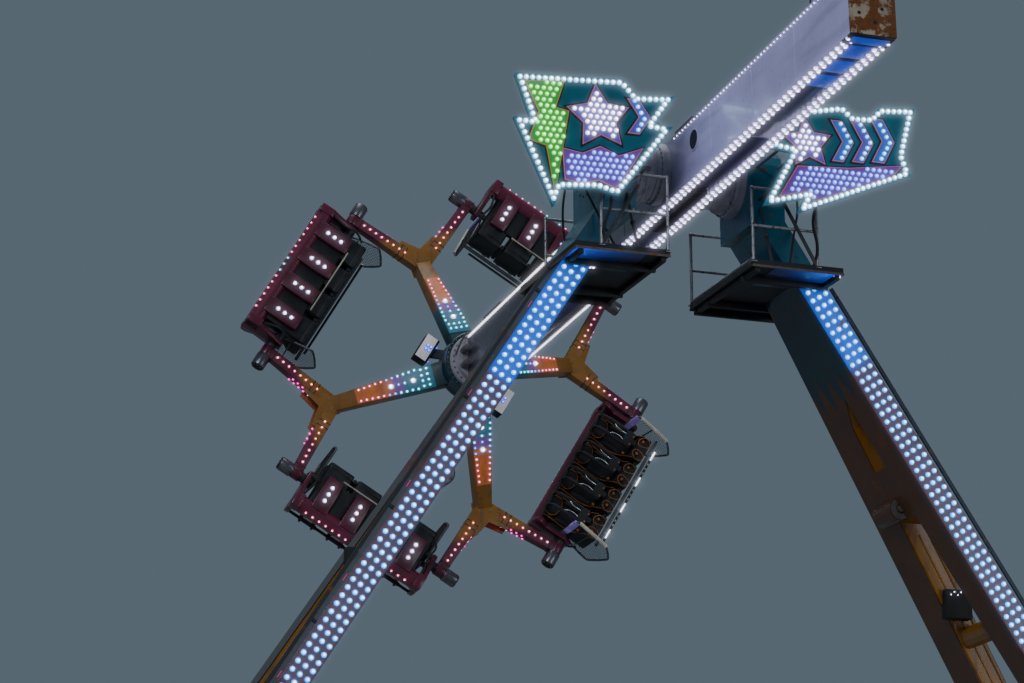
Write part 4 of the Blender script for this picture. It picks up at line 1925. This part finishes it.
    def add_fittings(self) -> None:
        """Adds rods, lugs, hoses, knobs and the step lights to the row."""
        shape = Shape(self.frame)
        shape.rod((-0.5, -0.335, -0.2), (0.7, -0.335, -0.2), 0.012, sides=10)
        shape.finish = 1
        shape.box((-0.9, 0.345, -0.56), (1.0, 0.358, -0.52), 0.003)
        for way in (-1, 1):
            x = way * (self.beam_half - 0.1)
            shape.pipes([[(x, -0.3, 0.3), (x - way * 0.05, -0.34, 0.05), (x - way * 0.02, -0.3, -0.15),
                          (x - way * 0.06, -0.2, -0.3)]], 0.018)
        for middle in SEAT_GAPS:
            shape.box((middle - 0.03, -0.2, -0.4), (middle + 0.03, 0.3, -0.33), 0.012)
        shape.finish = 2
        for x in SEAT_MIDDLES:
            for way in (-1, 1):
                knob, lug = x + way * 0.12, x + way * 0.19
                shape.rod((knob, 0.335, -0.29), (knob, 0.365, -0.29), 0.022, sides=14, bevel=0.004)
                shape.box((lug - 0.02, 0.2, -0.13), (lug + 0.02, 0.24, -0.09), 0.006)
        shape.finish = 3
        for x in SEAT_MIDDLES:
            shape.box((x - 0.085, 0.356, -0.55), (x + 0.085, 0.368, -0.53), 0.002)
        shape.finish = 0
        for middle in SEAT_GAPS:
            for x in (middle - 0.09, middle, middle + 0.09):
                shape.pad((x - 0.022, 0.35, -0.556), (x + 0.022, 0.372, -0.526), 0.8, 3)
        shape.done(f"row_{self.index}_fittings", STOCK.all(CREAM, RUBBER, PIPING, STEP_LIGHT), self.body,
                   "seat_black")


@dataclass
class Studio:
    """The plain surroundings: sky, floor, soft lights and the camera."""

    sky: Colour = (0.10, 0.135, 0.17)
    floor_size: float = 90.0
    eye: Point = (-15.19, -36.445, 1.442)
    yaw: float = math.radians(19.374)
    pitch: float = math.radians(16.225)
    roll: float = math.radians(-0.202)
    lens: float = 109.24
    bloom: float = 0.6

    def build(self) -> None:
        """Makes the surroundings."""
        self.add_sky()
        self.add_floor()
        self.add_lights()
        self.add_camera()
        self.add_bloom()

    def add_bloom(self) -> None:
        """Lets the lamps bloom a little in the finished picture."""
        scene = bpy.context.scene
        scene.use_nodes = True
        tree = scene.node_tree
        tree.nodes.clear()
        layers = tree.nodes.new("CompositorNodeRLayers")
        glare = tree.nodes.new("CompositorNodeGlare")
        glare.glare_type = "BLOOM"
        settings = {"Threshold": 0.5, "Strength": self.bloom, "Size": 0.02, "Saturation": 1.0}
        for name, value in settings.items():
            glare.inputs[name].default_value = value
        final = tree.nodes.new("CompositorNodeComposite")
        tree.links.new(layers.outputs["Image"], glare.inputs["Image"])
        tree.links.new(glare.outputs["Image"], final.inputs["Image"])

    def add_sky(self) -> None:
        """Fills the world with one even colour."""
        world = bpy.data.worlds.new("even_sky")
        bpy.context.scene.world = world
        world.use_nodes = True
        world.node_tree.nodes["Background"].inputs["Color"].default_value = (*self.sky, 1.0)

    def add_floor(self) -> None:
        """Lays a pale floor under the pads."""
        form = bmesh.new()
        bmesh.ops.create_grid(form, x_segments=1, y_segments=1, size=self.floor_size / 2)
        mesh = bpy.data.meshes.new("floor")
        form.to_mesh(mesh)
        form.free()
        mesh.materials.append(STOCK.get(PALE_FLOOR))
        floor = bpy.data.objects.new("floor", mesh)
        bpy.context.scene.collection.objects.link(floor)

    def add_lights(self) -> None:
        """Hangs three large soft lights."""
        for name, spot, aim, size, power in (
                ("key_light", (-26.0, -30.0, 30.0), (0.0, 3.0, 13.0), 16.0, 5500.0),
                ("fill_light", (24.0, -26.0, 10.0), (0.0, 4.0, 12.0), 18.0, 2000.0),
                ("top_light", (0.0, 8.0, 42.0), (0.0, 4.0, 12.0), 20.0, 3500.0)):
            light = bpy.data.lights.new(name, "AREA")
            light.size = size
            light.energy = power
            light.color = (0.86, 0.93, 1.0)
            made = bpy.data.objects.new(name, light)
            made.location = spot
            made.rotation_euler = (Vector(spot) - Vector(aim)).to_track_quat("Z", "Y").to_euler()
            bpy.context.scene.collection.objects.link(made)

    def add_camera(self) -> None:
        """Stands the camera where the photograph was taken from."""
        ahead = Vector((math.sin(self.yaw) * math.cos(self.pitch),
                        math.cos(self.yaw) * math.cos(self.pitch), math.sin(self.pitch)))
        level = Vector((math.cos(self.yaw), -math.sin(self.yaw), 0.0))
        above = level.cross(ahead)
        right = math.cos(self.roll) * level + math.sin(self.roll) * above
        up = -math.sin(self.roll) * level + math.cos(self.roll) * above
        camera = bpy.data.cameras.new("camera")
        camera.lens = self.lens
        camera.sensor_width = 36.0
        camera.clip_end = 300.0
        made = bpy.data.objects.new("camera", camera)
        made.matrix_world = local_frame(Vector(self.eye), right, up, -ahead)
        bpy.context.scene.collection.objects.link(made)
        bpy.context.scene.camera = made


def main() -> None:
    """Builds the dressed ride and hands it over."""
    logging.basicConfig(level=logging.INFO, format="%(name)s: %(message)s")
    GroundFrame().build()
    for side, brown_after in ((Side.LEFT, 2.15), (Side.RIGHT, 1.4)):
        Leg(side, brown_after).build()
        Platform(side).build()
        Head(side).build()
    for sign in SIGNS:
        sign.build()
    Arm().build()
    Spider().build()
    for index in ROWS:
        Row(index).build()
    Studio().build()


if __name__ == "__main__":
    main()
